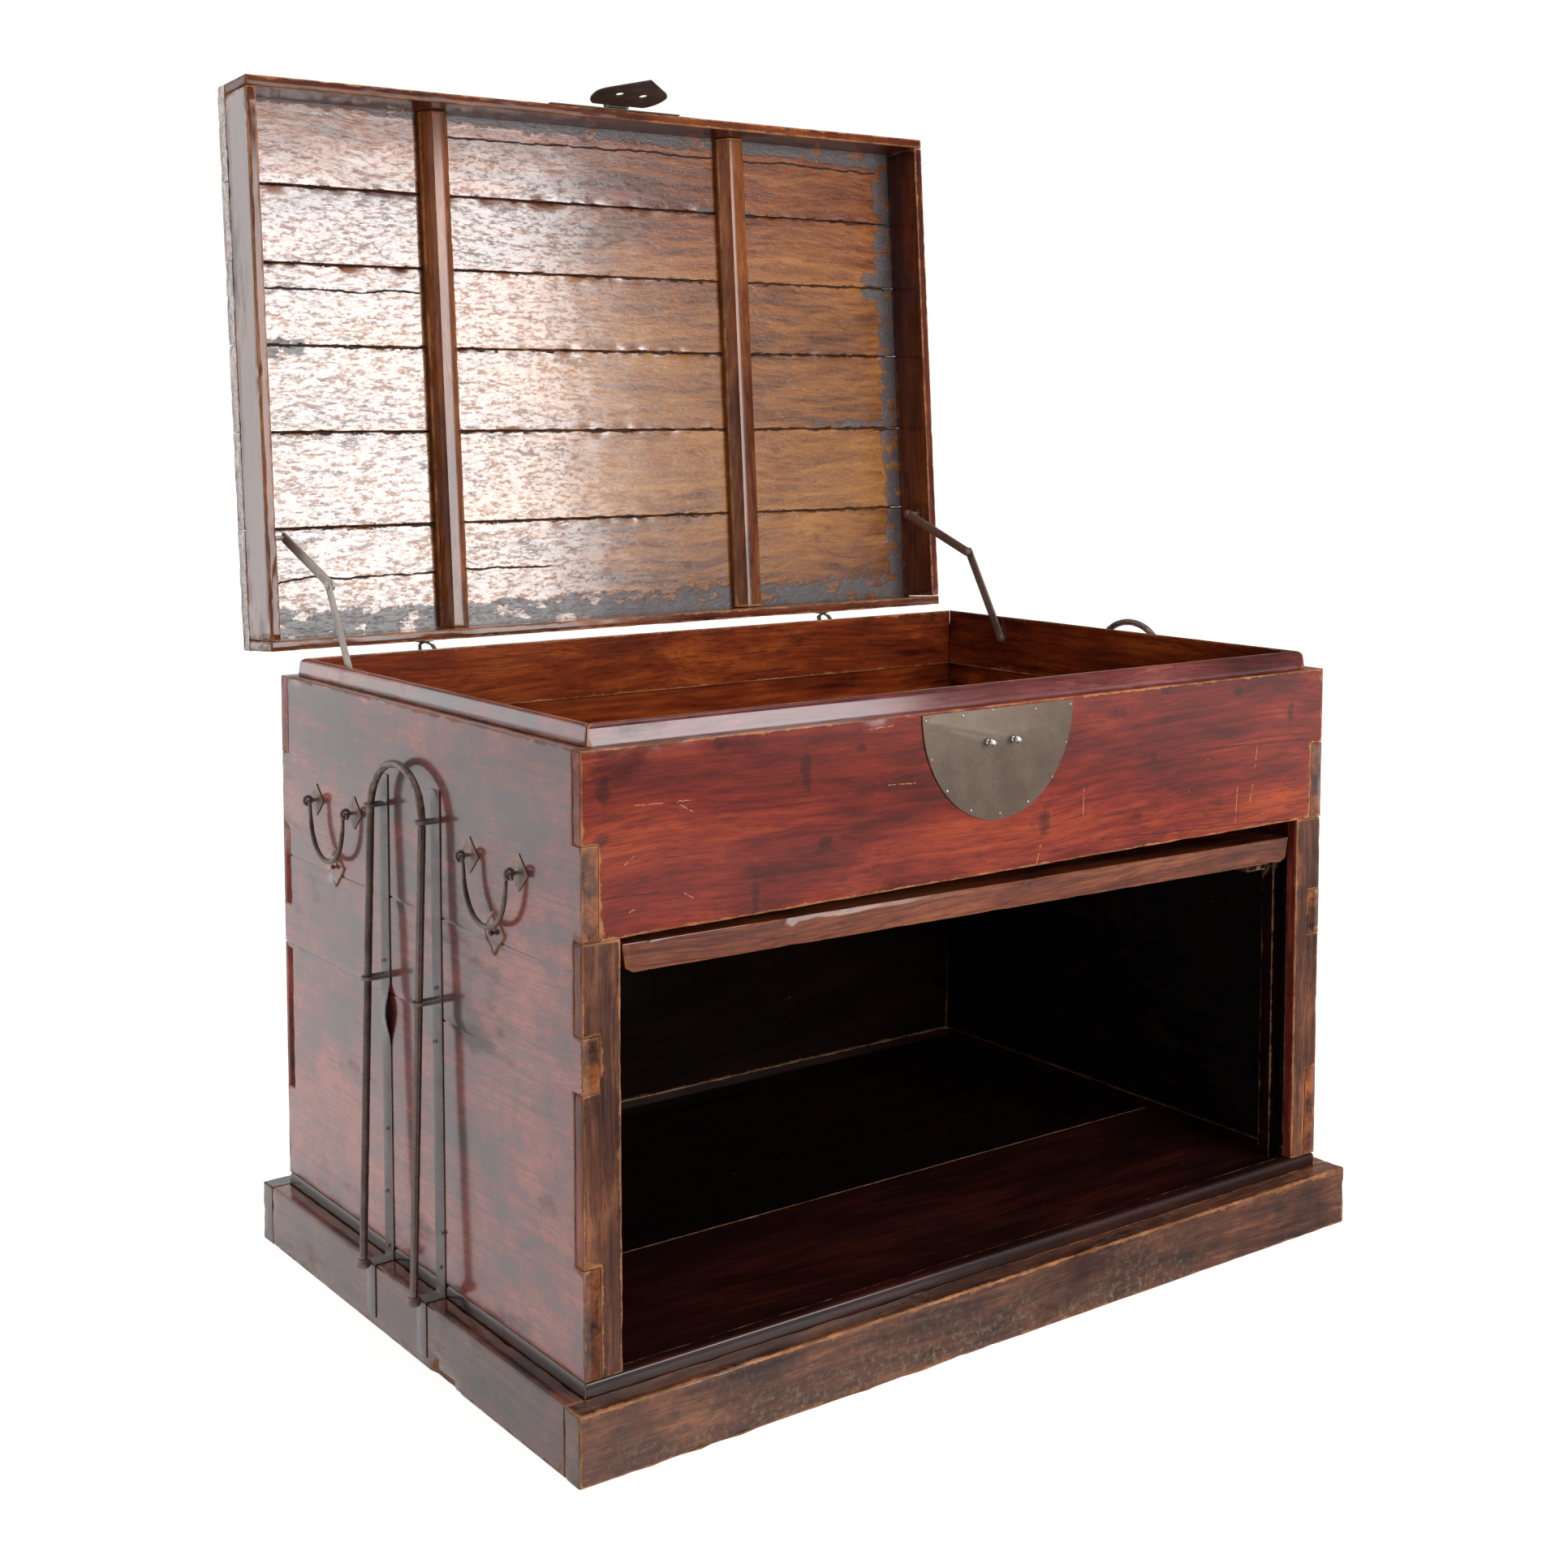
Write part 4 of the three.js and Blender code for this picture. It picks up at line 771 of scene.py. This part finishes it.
def addModifier(piece, kind, **settings):
    selectOnly(piece)
    modifier = piece.modifiers.new(kind.title(), kind)
    for name, value in settings.items():
        setattr(modifier, name, value)
    bpy.ops.object.modifier_apply(modifier=modifier.name)


def corners(spots):
    return [Vector(end(spot[i] for spot in spots) for i in range(3)) for end in (min, max)]


def gridded(piece, cell, margin=0.0, finer=True):
    mesh = bmesh.new()
    mesh.from_mesh(piece.data)
    low, high = corners([vertex.co for vertex in mesh.verts])
    for i in range(3):
        span = high[i] - low[i]
        cuts = []
        if cell[i]:
            count = max(1, round(span / (2 * cell[i] if finer else cell[i])))
            cuts = [low[i] + span * k / count for k in range(1, count)]
        if margin and span > 4 * margin:
            cuts = [low[i] + margin, high[i] - margin] + cuts
        for at in cuts:
            spot = [low[j] if j != i else at for j in range(3)]
            toward = [j == i for j in range(3)]
            everything = mesh.verts[:] + mesh.edges[:] + mesh.faces[:]
            bmesh.ops.bisect_plane(mesh, geom=everything, plane_co=spot, plane_no=toward)
    if finer and any(cell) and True:
        bmesh.ops.subdivide_edges(mesh, edges=mesh.edges[:], cuts=1, use_grid_fill=True)
    mesh.to_mesh(piece.data)
    mesh.free()


wearing = {"narrow": 0.003, "beside": 0.8}


def markWear(piece, least, spread=0):
    mesh = bmesh.new()
    mesh.from_mesh(piece.data)
    values = [0.0] * len(mesh.verts)
    for edge in mesh.edges:
        if len(edge.link_faces) == 2 and edge.calc_face_angle_signed(0) > least:
            for vertex in edge.verts:
                values[vertex.index] = 1.0
    for edge in mesh.edges:
        first, second = (vertex.index for vertex in edge.verts)
        if edge.calc_length() < wearing["narrow"] and 1.0 in (values[first], values[second]):
            values[first] = max(values[first], wearing["beside"])
            values[second] = max(values[second], wearing["beside"])
    sharp = [vertex.co for vertex in mesh.verts if values[vertex.index] == 1.0]
    if spread and sharp:
        tree = kdtree.KDTree(len(sharp))
        for index, spot in enumerate(sharp):
            tree.insert(spot, index)
        tree.balance()
        for vertex in mesh.verts:
            gap = tree.find(vertex.co)[2]
            values[vertex.index] = max(values[vertex.index], 1 - gap / spread)
    mesh.free()
    wear = piece.data.attributes.new("wear", "FLOAT", "POINT")
    wear.data.foreach_set("value", values)
    return values


chips = {"pitch": 55, "finePitch": 160, "fine": 0.35}


def weather(piece, seed, values, wave, chip, pitch):
    push = Vector(shifted(seed))
    normals = [vertex.normal.copy() for vertex in piece.data.vertices]
    for vertex, value, normal in zip(piece.data.vertices, values, normals):
        spot = vertex.co + push
        depth = wave * (0.5 + 0.5 * noise.noise(spot * pitch))
        rough = noise.noise(spot * chips["pitch"]) + chips["fine"] * noise.noise(spot * chips["finePitch"])
        vertex.co -= normal * (depth + chip * value * max(0, rough))


bite = {"node": "plinth_left", "near": -0.153, "far": -0.214, "height": 0.016, "depth": 0.004,
        "reach": 0.008, "even": 0.6, "pitch": 150, "wear": 1.4}
twist = {"node": "strap_left_rear", "low": 0.325, "high": 0.405, "angle": 14, "lift": 0.004,
         "flat": -0.5540, "core": -0.5515}


def bitten(piece):
    wear = piece.data.attributes["wear"]
    face = min(vertex.co.x for vertex in piece.data.vertices)
    for vertex in piece.data.vertices:
        along = (vertex.co.y - bite["far"]) / (bite["near"] - bite["far"])
        near = vertex.co.x < face + bite["reach"]
        if 0 < along < 1 and near and vertex.co.z < bite["height"] * along:
            uneven = (1 - bite["even"]) * noise.noise(vertex.co * bite["pitch"])
            vertex.co.x += bite["depth"] * (bite["even"] + uneven)
            wear.data[vertex.index].value = bite["wear"]


def twisted(piece):
    flat = [vertex for vertex in piece.data.vertices if vertex.co.x > twist["flat"]]
    middle = sum(vertex.co.y for vertex in flat) / len(flat)
    for vertex in flat:
        along = (vertex.co.z - twist["low"]) / (twist["high"] - twist["low"])
        if 0 < along < 1:
            amount = math.sin(math.pi * along) ** 2
            turn = math.radians(twist["angle"]) * amount
            across, depth = vertex.co.y - middle, vertex.co.x - twist["core"]
            turned = across * math.sin(turn) + depth * math.cos(turn)
            vertex.co.y = middle + across * math.cos(turn) - depth * math.sin(turn)
            vertex.co.x = twist["core"] - twist["lift"] * amount + turned


smoothDegrees = 35


def finished(piece, name):
    for vertex in piece.data.vertices:
        vertex.co = Vector(max(low, min(high, value)) for value, low, high in zip(vertex.co, *cadBox))
    piece.data.update()
    # the finishes read this direction from the mesh, because it turns with the piece
    facing = piece.data.attributes.new("facing", "FLOAT_VECTOR", "FACE")
    facing.data.foreach_set("vector", [value for face in piece.data.polygons for value in face.normal])
    selectOnly(piece)
    bpy.ops.object.shade_smooth_by_angle(angle=math.radians(smoothDegrees))
    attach(piece, bodyOfNode[name])
    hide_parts(name)


# each wooden piece: its grain and colours, the spacing of its grid and how it is worn

# near-black colours: painted shade for the lower compartment's inner walls, the rear floor board, the left
# door guide and the strips behind the lid's plank joints
dark = {
    "deep": (0.0020, 0.0006, 0.0005), "body": (0.005, 0.0013, 0.0010), "bright": (0.012, 0.003, 0.002),
    "bare": (0.10, 0.05, 0.03), "coat": 0.04, "shine": 0.05, "rough": 0.7, "stain": (0.002, 0.001, 0.001)}
# dark red-brown floor wood of the lower compartment, darkened further as painted shade
floorWoodAndShade = {
    "deep": (0.010, 0.002, 0.0015), "body": (0.026, 0.005, 0.0035), "bright": (0.07, 0.012, 0.007),
    "bare": (0.42, 0.24, 0.13), "coat": 0.6, "shine": 0.2, "stain": (0.004, 0.002, 0.002)}
brown = {
    "deep": (0.028, 0.010, 0.007), "body": (0.115, 0.040, 0.021), "bright": (0.32, 0.12, 0.055),
    "mottling": 0.25}
plinthRed = {
    "deep": (0.035, 0.012, 0.009), "body": (0.17, 0.052, 0.034), "bright": (0.36, 0.13, 0.08),
    "mottling": 0.4}
tillRed = {
    "deep": (0.050, 0.007, 0.003), "body": (0.20, 0.032, 0.007), "bright": (0.40, 0.09, 0.015),
    "coat": 0.5}
endOrange = {"deep": (0.022, 0.007, 0.005), "body": (0.13, 0.038, 0.015), "bright": (0.34, 0.10, 0.025)}
sideRed = {
    "deep": (0.065, 0.014, 0.011), "body": (0.26, 0.036, 0.026), "bright": (0.58, 0.12, 0.075),
    "coat": 0.95, "mottling": 0.55, "shine": 0.25, "bare": (0.40, 0.17, 0.08)}
purple = {
    "deep": (0.055, 0.012, 0.012), "body": (0.14, 0.028, 0.027), "bright": (0.27, 0.075, 0.06),
    "coat": 1.0}
doorBrown = {
    "deep": (0.04, 0.010, 0.006), "body": (0.17, 0.042, 0.019), "bright": (0.32, 0.10, 0.04),
    "coat": 0.75, "wear": 0.15}
battenOrange = {
    "deep": (0.09, 0.02, 0.006), "body": (0.25, 0.070, 0.018), "bright": (0.42, 0.16, 0.04),
    "coat": 1.0}
lidBrown = {
    "deep": (0.055, 0.010, 0.006), "body": (0.15, 0.032, 0.012), "bright": (0.30, 0.085, 0.022),
    "coat": 0.9}


frontMarks = {
    "knots": [
        (-0.202, 0.694, 0.008, 0.006), (0.189, 0.698, 0.017, 0.007), (0.392, 0.706, 0.011, 0.007),
        (0.262, 0.715, 0.009, 0.004), (-0.172, 0.647, 0.036, 0.006), (-0.275, 0.678, 0.006, 0.020),
        (-0.342, 0.552, 0.005, 0.018), (0.064, 0.583, 0.009, 0.018), (-0.527, 0.631, 0.008, 0.007),
        (-0.524, 0.679, 0.007, 0.011), (0.489, 0.669, 0.006, 0.018), (-0.25, 0.597, 0.007, 0.005)],
    "cracks": [
        ((0.320, 0.640), (0.532, 0.634)), ((0.156, 0.550), (0.492, 0.535)),
        ((-0.545, 0.575), (-0.46, 0.572))],
    "scratches": [
        ((-0.440, 0.662), (-0.418, 0.648)), ((-0.441, 0.662), (-0.422, 0.661)),
        ((0.1283, 0.614), (0.127, 0.583)), ((0.427, 0.633), (0.424, 0.608)),
        ((0.420, 0.586), (0.415, 0.566)), ((0.392, 0.586), (0.389, 0.542)),
        ((0.060, 0.556), (0.054, 0.534)), ((-0.500, 0.604), (-0.487, 0.613)),
        ((-0.199, 0.711), (-0.158, 0.713)), ((-0.165, 0.649), (-0.127, 0.647)),
        ((-0.488, 0.663), (-0.455, 0.661)), ((-0.495, 0.556), (-0.489, 0.559)),
        ((-0.429, 0.567), (-0.418, 0.560))],
}


# the inner face of a board: near-black painted shade below the till, the till's red above
def within(axis, outer, inner):
    return {"axis": axis, "from": outer, "to": inner, "lowLook": dark, "highLook": tillRed}


sideEnds = {"axis": "x", **sideRed}
orangeEnds = {"axis": "y", **endOrange}
plinthWork = {"slot": "dark_wood", "bevel": 0.0022}
frontPlinth = {"grain": "x", **brown, "dust": 0.8}
sidePlinth = {"grain": "y", **plinthRed, "coat": 0.8, "dust": 0.4}
floorWork = {"cell": (0.02, 0.02, 0), "slot": "dark_wood", "bevel": 0.001, "spread": 0.003}
guideWork = {"cell": (0, 0, 0.02), "slot": "dark_wood", "bevel": 0.0008, "spread": 0.003}
sideWork = {"slot": "side_lacquer", "bevel": 0.0006}
stileWork = {"cell": (0.011, 0, 0.011), "slot": "lacquer", "bevel": 0.0012, "chip": 0.0014}
stileLook = {"grain": "z", **brown, "ends": sideEnds, "coat": 0.5}
coamingWork = {"slot": "lacquer", "bevel": 0.0008, "chip": 0.0003}
railWork = {"slot": "lacquer", "bevel": 0.0018, "chip": 0.0014}
battenWork = {"cell": (0, 0, 0.01), "slot": "lacquer", "bevel": 0.0014, "chip": 0.0012}
wornFloor = (0.30, 0.15, 0.08)

woodPieces = {
    "plinth_front": {"look": frontPlinth, **plinthWork, "cell": (0.012, 0, 0.012), "chip": 0.0022},
    "plinth_back": {"look": frontPlinth, **plinthWork, "cell": (0.014, 0, 0.014), "chip": 0.002},
    "plinth_left": {"look": sidePlinth, **plinthWork, "cell": (0, 0.012, 0.012), "chip": 0.0022},
    "plinth_right": {"look": sidePlinth, **plinthWork, "cell": (0, 0.014, 0.014), "chip": 0.002},
    "base_frame": {"look": {"grain": "x", **floorWoodAndShade}, **floorWork, "bevel": 0.0008, "chip": 0.001},
    "floor_board_front": {"look": {"grain": "x", **floorWoodAndShade, "bare": wornFloor}, **floorWork},
    # the rear board is painted near black, a deeper painted shade than the front board
    "floor_board_rear": {"look": {"grain": "x", **dark, "bare": wornFloor}, **floorWork},
    "side_left": {
        "look": {"grain": "y", **sideRed, "ends": orangeEnds, "inside": within("x", -0.544, -0.541)},
        **sideWork, "cell": (0, 0.012, 0.012)},
    "side_right": {
        "look": {"grain": "y", **sideRed, "ends": orangeEnds, "inside": within("x", 0.544, 0.541)},
        **sideWork, "cell": (0, 0.014, 0.014)},
    "back_board": {
        "look": {"grain": "x", "ends": sideEnds, "inside": within("y", 0.290, 0.282)},
        "cell": (0.02, 0, 0.02), "slot": "lacquer", "bevel": 0.0008},
    "front_board": {
        "look": {"grain": "x", "coat": 0.6, "ends": sideEnds, **frontMarks},
        "cell": (0.011, 0, 0.011), "slot": "lacquer", "bevel": 0.0014, "chip": 0.0014},
    "stile_left": {"look": stileLook, **stileWork},
    "stile_right": {"look": stileLook, **stileWork},
    "coaming_front": {"look": {"grain": "x", **purple}, **coamingWork, "cell": (0.01, 0, 0)},
    "coaming_back": {"look": {"grain": "x", **tillRed, "coat": 0.9}, **coamingWork, "cell": (0.01, 0, 0)},
    "coaming_left": {"look": {"grain": "y", **sideRed, "coat": 0.85}, **coamingWork, "cell": (0, 0.01, 0)},
    "coaming_right": {"look": {"grain": "y", **tillRed, "coat": 0.9}, **coamingWork, "cell": (0, 0.01, 0)},
    "till_floor": {
        "look": {"grain": "x", **tillRed}, "cell": (0.03, 0.03, 0), "slot": "inner_wood", "bevel": 0.0008},
    # the left guide is painted near black, a deeper painted shade than the right guide
    "door_guide_left": {"look": {"grain": "z", **dark}, **guideWork},
    "door_guide_right": {"look": {"grain": "z", **floorWoodAndShade}, **guideWork},
    "lid_rail_front": {
        "look": {"grain": "x", **lidBrown, "coat": 0.35}, **railWork, "cell": (0.011, 0.012, 0)},
    "lid_rail_back": {"look": {"grain": "x", **lidBrown}, **railWork, "cell": (0.011, 0.012, 0)},
    "lid_rail_left": {
        "look": {"grain": "z", **lidBrown, "coat": 0.85}, **railWork, "cell": (0, 0.012, 0.011)},
    "lid_rail_right": {"look": {"grain": "z", **lidBrown}, **railWork, "cell": (0, 0.012, 0.011)},
    "lid_batten_left": {"look": {"grain": "z", **battenOrange}, **battenWork},
    "lid_batten_right": {"look": {"grain": "z", **battenOrange}, **battenWork},
    "door": {
        "look": {"grain": "x", **doorBrown},
        "cell": (0.016, 0.04, 0.009), "slot": "lacquer", "bevel": 0.0012, "chip": 0.0014},
}

plankWork = {"finish": plankFinish, "cell": (0.008, 0, 0.008), "slot": "inner_wood",
             "bevel": 0.0016, "chip": 0.003, "wave": 0.0003, "pitch": 30}
planks = [f"lid_plank_{i}" for i in range(1, 7)]
for name in planks:
    heights = [vertex.co.z for vertex in nodes[name].data.vertices]
    woodPieces[name] = {"look": {"edges": (min(heights), max(heights))}, **plankWork}

woodWork = {"finish": lacquerFinish, "spread": 0.007, "wave": 0.0004, "chip": 0.0008, "pitch": 9,
            "rim": 0.0035, "bevelDegrees": 40, "sharp": 0.6}


def makeWoodPieces():
    for seed, name in enumerate(sorted(woodPieces)):
        how = {**woodWork, **woodPieces[name]}
        piece = mergedCopy(name, name + "_worn")
        addBevel(piece, how["bevel"], how["bevelDegrees"])
        gridded(piece, how["cell"], how["rim"])
        wear = markWear(piece, how["sharp"], how["spread"])
        weather(piece, seed, wear, how["wave"], how["chip"], how["pitch"])
        if name == bite["node"]:
            bitten(piece)
        piece.data.materials.clear()
        piece.data.materials.append(how["finish"](name + "_wood", seed, **how["look"]))
        finished(piece, name)


makeWoodPieces()
report("wooden pieces made")


# ironwork: rods are rounded and pitted, plates get worn rims

greyPlate = {
    "dark": (0.030, 0.023, 0.018), "mid": (0.105, 0.070, 0.048), "rust": (0.10, 0.05, 0.025),
    "metal": 0.25, "rusty": 0.5, "pits": 0.5, "rough": 0.5}
tanBar = {
    "dark": (0.16, 0.14, 0.12), "mid": (0.34, 0.30, 0.26), "rust": (0.2, 0.11, 0.07),
    "metal": 0.3, "rusty": 0.4}
strapIron = {
    "dark": (0.05, 0.042, 0.04), "mid": (0.13, 0.11, 0.105),
    "pits": 0.4, "rusty": 0.25, "metal": 0.4, "rough": 0.3}
haspIron = {"dark": (0.018, 0.013, 0.011), "mid": (0.06, 0.045, 0.04)}
studFront = -0.4372

ironWork = {"look": {}, "slot": "iron", "bevel": 0, "round": 0, "cell": (0, 0, 0), "lumps": 0, "swell": 0,
            "bevelDegrees": 50, "sharp": 0.4, "lumpPitch": 140, "firstSeed": 100}
sheet = {"bevel": 0.0003}
bar = {"bevel": 0.0005}
rod = {"round": 1}
poleRod = {**rod, "cell": (0, 0, 0.011), "lumps": 0.0003, "swell": 0.0006}
bailRod = {**rod, "lumps": 0.0002, "swell": 0.0003}

ironPieces = {
    "lock_plate": {"look": {**greyPlate, "steel": studFront}, "slot": "bronze", **sheet},
    "lid_plate": {"look": greyPlate, "slot": "bronze", **sheet},
    "hasp": {"look": haspIron, "slot": "bronze", **bar},
    "hinge_staple_left": rod,
    "hinge_staple_right": rod,
}
stays = {"left": {"look": tanBar, "slot": "pale_steel", **bar}, "right": bar}
for side in ("left", "right"):
    ironPieces[f"stay_lower_{side}"] = stays[side]
    ironPieces[f"stay_upper_{side}"] = stays[side]
    ironPieces[f"pole_handle_{side}"] = poleRod
    for row in ("front", "rear"):
        ironPieces[f"bail_{side}_{row}"] = bailRod
        ironPieces[f"strap_{side}_{row}"] = {"look": strapIron, **sheet, "cell": (0, 0, 0.012)}
        for end in ("a", "b"):
            ironPieces[f"eye_plate_{side}_{row}_{end}"] = sheet


def makeIronPieces():
    for seed, name in enumerate(sorted(ironPieces)):
        how = {**ironWork, **ironPieces[name]}
        piece = mergedCopy(name, name + "_forged")
        if how["bevel"]:
            addBevel(piece, how["bevel"], how["bevelDegrees"])
        gridded(piece, how["cell"], finer=False)
        if how["round"]:
            addModifier(piece, "SUBSURF", levels=how["round"], render_levels=how["round"])
        markWear(piece, how["sharp"])
        push = Vector(shifted(seed))
        for vertex in piece.data.vertices:
            lump = how["lumps"] * noise.noise((vertex.co + push) * how["lumpPitch"])
            vertex.co += vertex.normal * (how["swell"] + lump)
        if name == twist["node"]:
            twisted(piece)
        piece.data.materials.clear()
        piece.data.materials.append(ironFinish(name + "_iron", how["firstSeed"] + seed, **how["look"]))
        finished(piece, name)


makeIronPieces()
report("ironwork made")


# rows of nails on the lock plate and the straps, and near-black strips behind the planks' joints that stand
# for the shade seen through the gaps

lockNails = {
    "radius": 0.0017,
    "height": 0.0011,
    "face": -0.43434,
    "places": [(-114.1, 714.2), (-60.3, 715.4), (-16.7, 717.9), (48.4, 713.9), (103.0, 714.5),
               (-105.7, 670.3), (96.7, 671.0), (-82.9, 633.4), (75.0, 633.3), (-47.7, 607.8),
               (-4.4, 600.0), (38.1, 608.4)],
}

strapNails = {
    "radius": 0.0024,
    "height": 0.0014,
    "face": 0.5524,
    "places": [(78.8, 423), (74.3, 226.8), (78, 152), (74.3, 88.5),
               (-51.4, 420), (-47.9, 359), (-61.7, 147), (-55.8, 106)],
    "shift": -0.070845,
}

nailShape = {"sides": 12, "bevel": 0.55, "segments": 3, "sunk": 0.0002}
rowWork = {"sharp": 0.4, "smoothDegrees": 40}
lockNailIron = {
    "dark": (0.10, 0.085, 0.07), "mid": (0.28, 0.25, 0.21),
    "rusty": 0.1, "metal": 0.8, "rough": 0.3}
nailSeeds = {"lock": 7, "strap": 8}


def nailHead(how):
    bpy.ops.object.select_all(action="DESELECT")
    bpy.ops.mesh.primitive_cylinder_add(
        vertices=nailShape["sides"], radius=how["radius"], depth=how["height"])
    nail = bpy.context.object
    for face in nail.data.polygons:
        face.select = face.normal.z > 0.5
    bpy.ops.object.mode_set(mode="EDIT")
    bpy.ops.mesh.bevel(offset=nailShape["bevel"] * how["height"], segments=nailShape["segments"])
    bpy.ops.object.mode_set(mode="OBJECT")
    return nail


def rowOf(first, name, spots, turn, node, finish):
    first.name = name
    shape = first.data.copy()
    others = [bpy.data.objects.new(f"{name}{k}", shape.copy()) for k in range(1, len(spots))]
    for other in others:
        bpy.context.scene.collection.objects.link(other)
    bpy.ops.object.select_all(action="DESELECT")
    for piece, spot in zip([first] + others, spots):
        piece.rotation_euler = [math.radians(angle) for angle in turn]
        piece.location = spot
        piece.select_set(True)
    bpy.context.view_layer.objects.active = first
    bpy.ops.object.transform_apply()
    bpy.ops.object.join()
    first.data.materials.append(finish)
    markWear(first, rowWork["sharp"])
    bpy.ops.object.shade_smooth_by_angle(angle=math.radians(rowWork["smoothDegrees"]))
    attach(first, bodyOfNode[node])


def makeLockNails():
    how = lockNails
    y = how["face"] - how["height"] / 2 + nailShape["sunk"]
    spots = [(x / perMetre, y, z / perMetre) for x, z in how["places"]]
    finish = ironFinish("brightNails", nailSeeds["lock"], **lockNailIron)
    rowOf(nailHead(how), "lock_plate_nails", spots, (90, 0, 0), "lock_plate", finish)


def makeStrapNails():
    how = strapNails
    finish = ironFinish("strapNails", nailSeeds["strap"])
    x = how["face"] + how["height"] / 2 - nailShape["sunk"]
    for side, way in (("left", -1), ("right", 1)):
        spots = [(way * x, -way * y / perMetre + how["shift"], z / perMetre) for y, z in how["places"]]
        turn = (0, 90 * way, 0)
        rowOf(nailHead(how), f"strap_nails_{side}", spots, turn, f"strap_{side}_front", finish)


tongues = {"long": 1.05, "deep": 0.004, "tall": 0.007, "bevel": 0.0008, "cell": 0.02, "seed": 40}


def middleOf(spots):
    low, high = corners(spots)
    return (low + high) / 2


def makeTongues():
    outlines = [[vertex.co for vertex in nodes[name].data.vertices] for name in planks]
    joints = []
    for first, second in zip(outlines, outlines[1:]):
        middle = middleOf(first)
        across = (middleOf(second) - middle).normalized()
        joints.append(middle + across * max(across.dot(spot - middle) for spot in first))
    bpy.ops.object.select_all(action="DESELECT")
    shape = (tongues["long"], tongues["deep"], tongues["tall"])
    bpy.ops.mesh.primitive_cube_add(size=1, scale=shape)
    strip = bpy.context.object
    bpy.ops.object.transform_apply(location=False, rotation=False)
    addModifier(strip, "BEVEL", width=tongues["bevel"], segments=2)
    gridded(strip, (tongues["cell"], 0, 0), finer=False)
    tilt = math.degrees(math.atan2(-across.y, across.z))
    # the strips are painted near black: painted shade seen through the plank joints
    finish = lacquerFinish("tongueWood", tongues["seed"], grain="x", **dark)
    rowOf(strip, "lid_tongues", joints, (tilt, 0, 0), "lid_plank_1", finish)


makeLockNails()
makeStrapNails()
makeTongues()
report("nails and strips made")
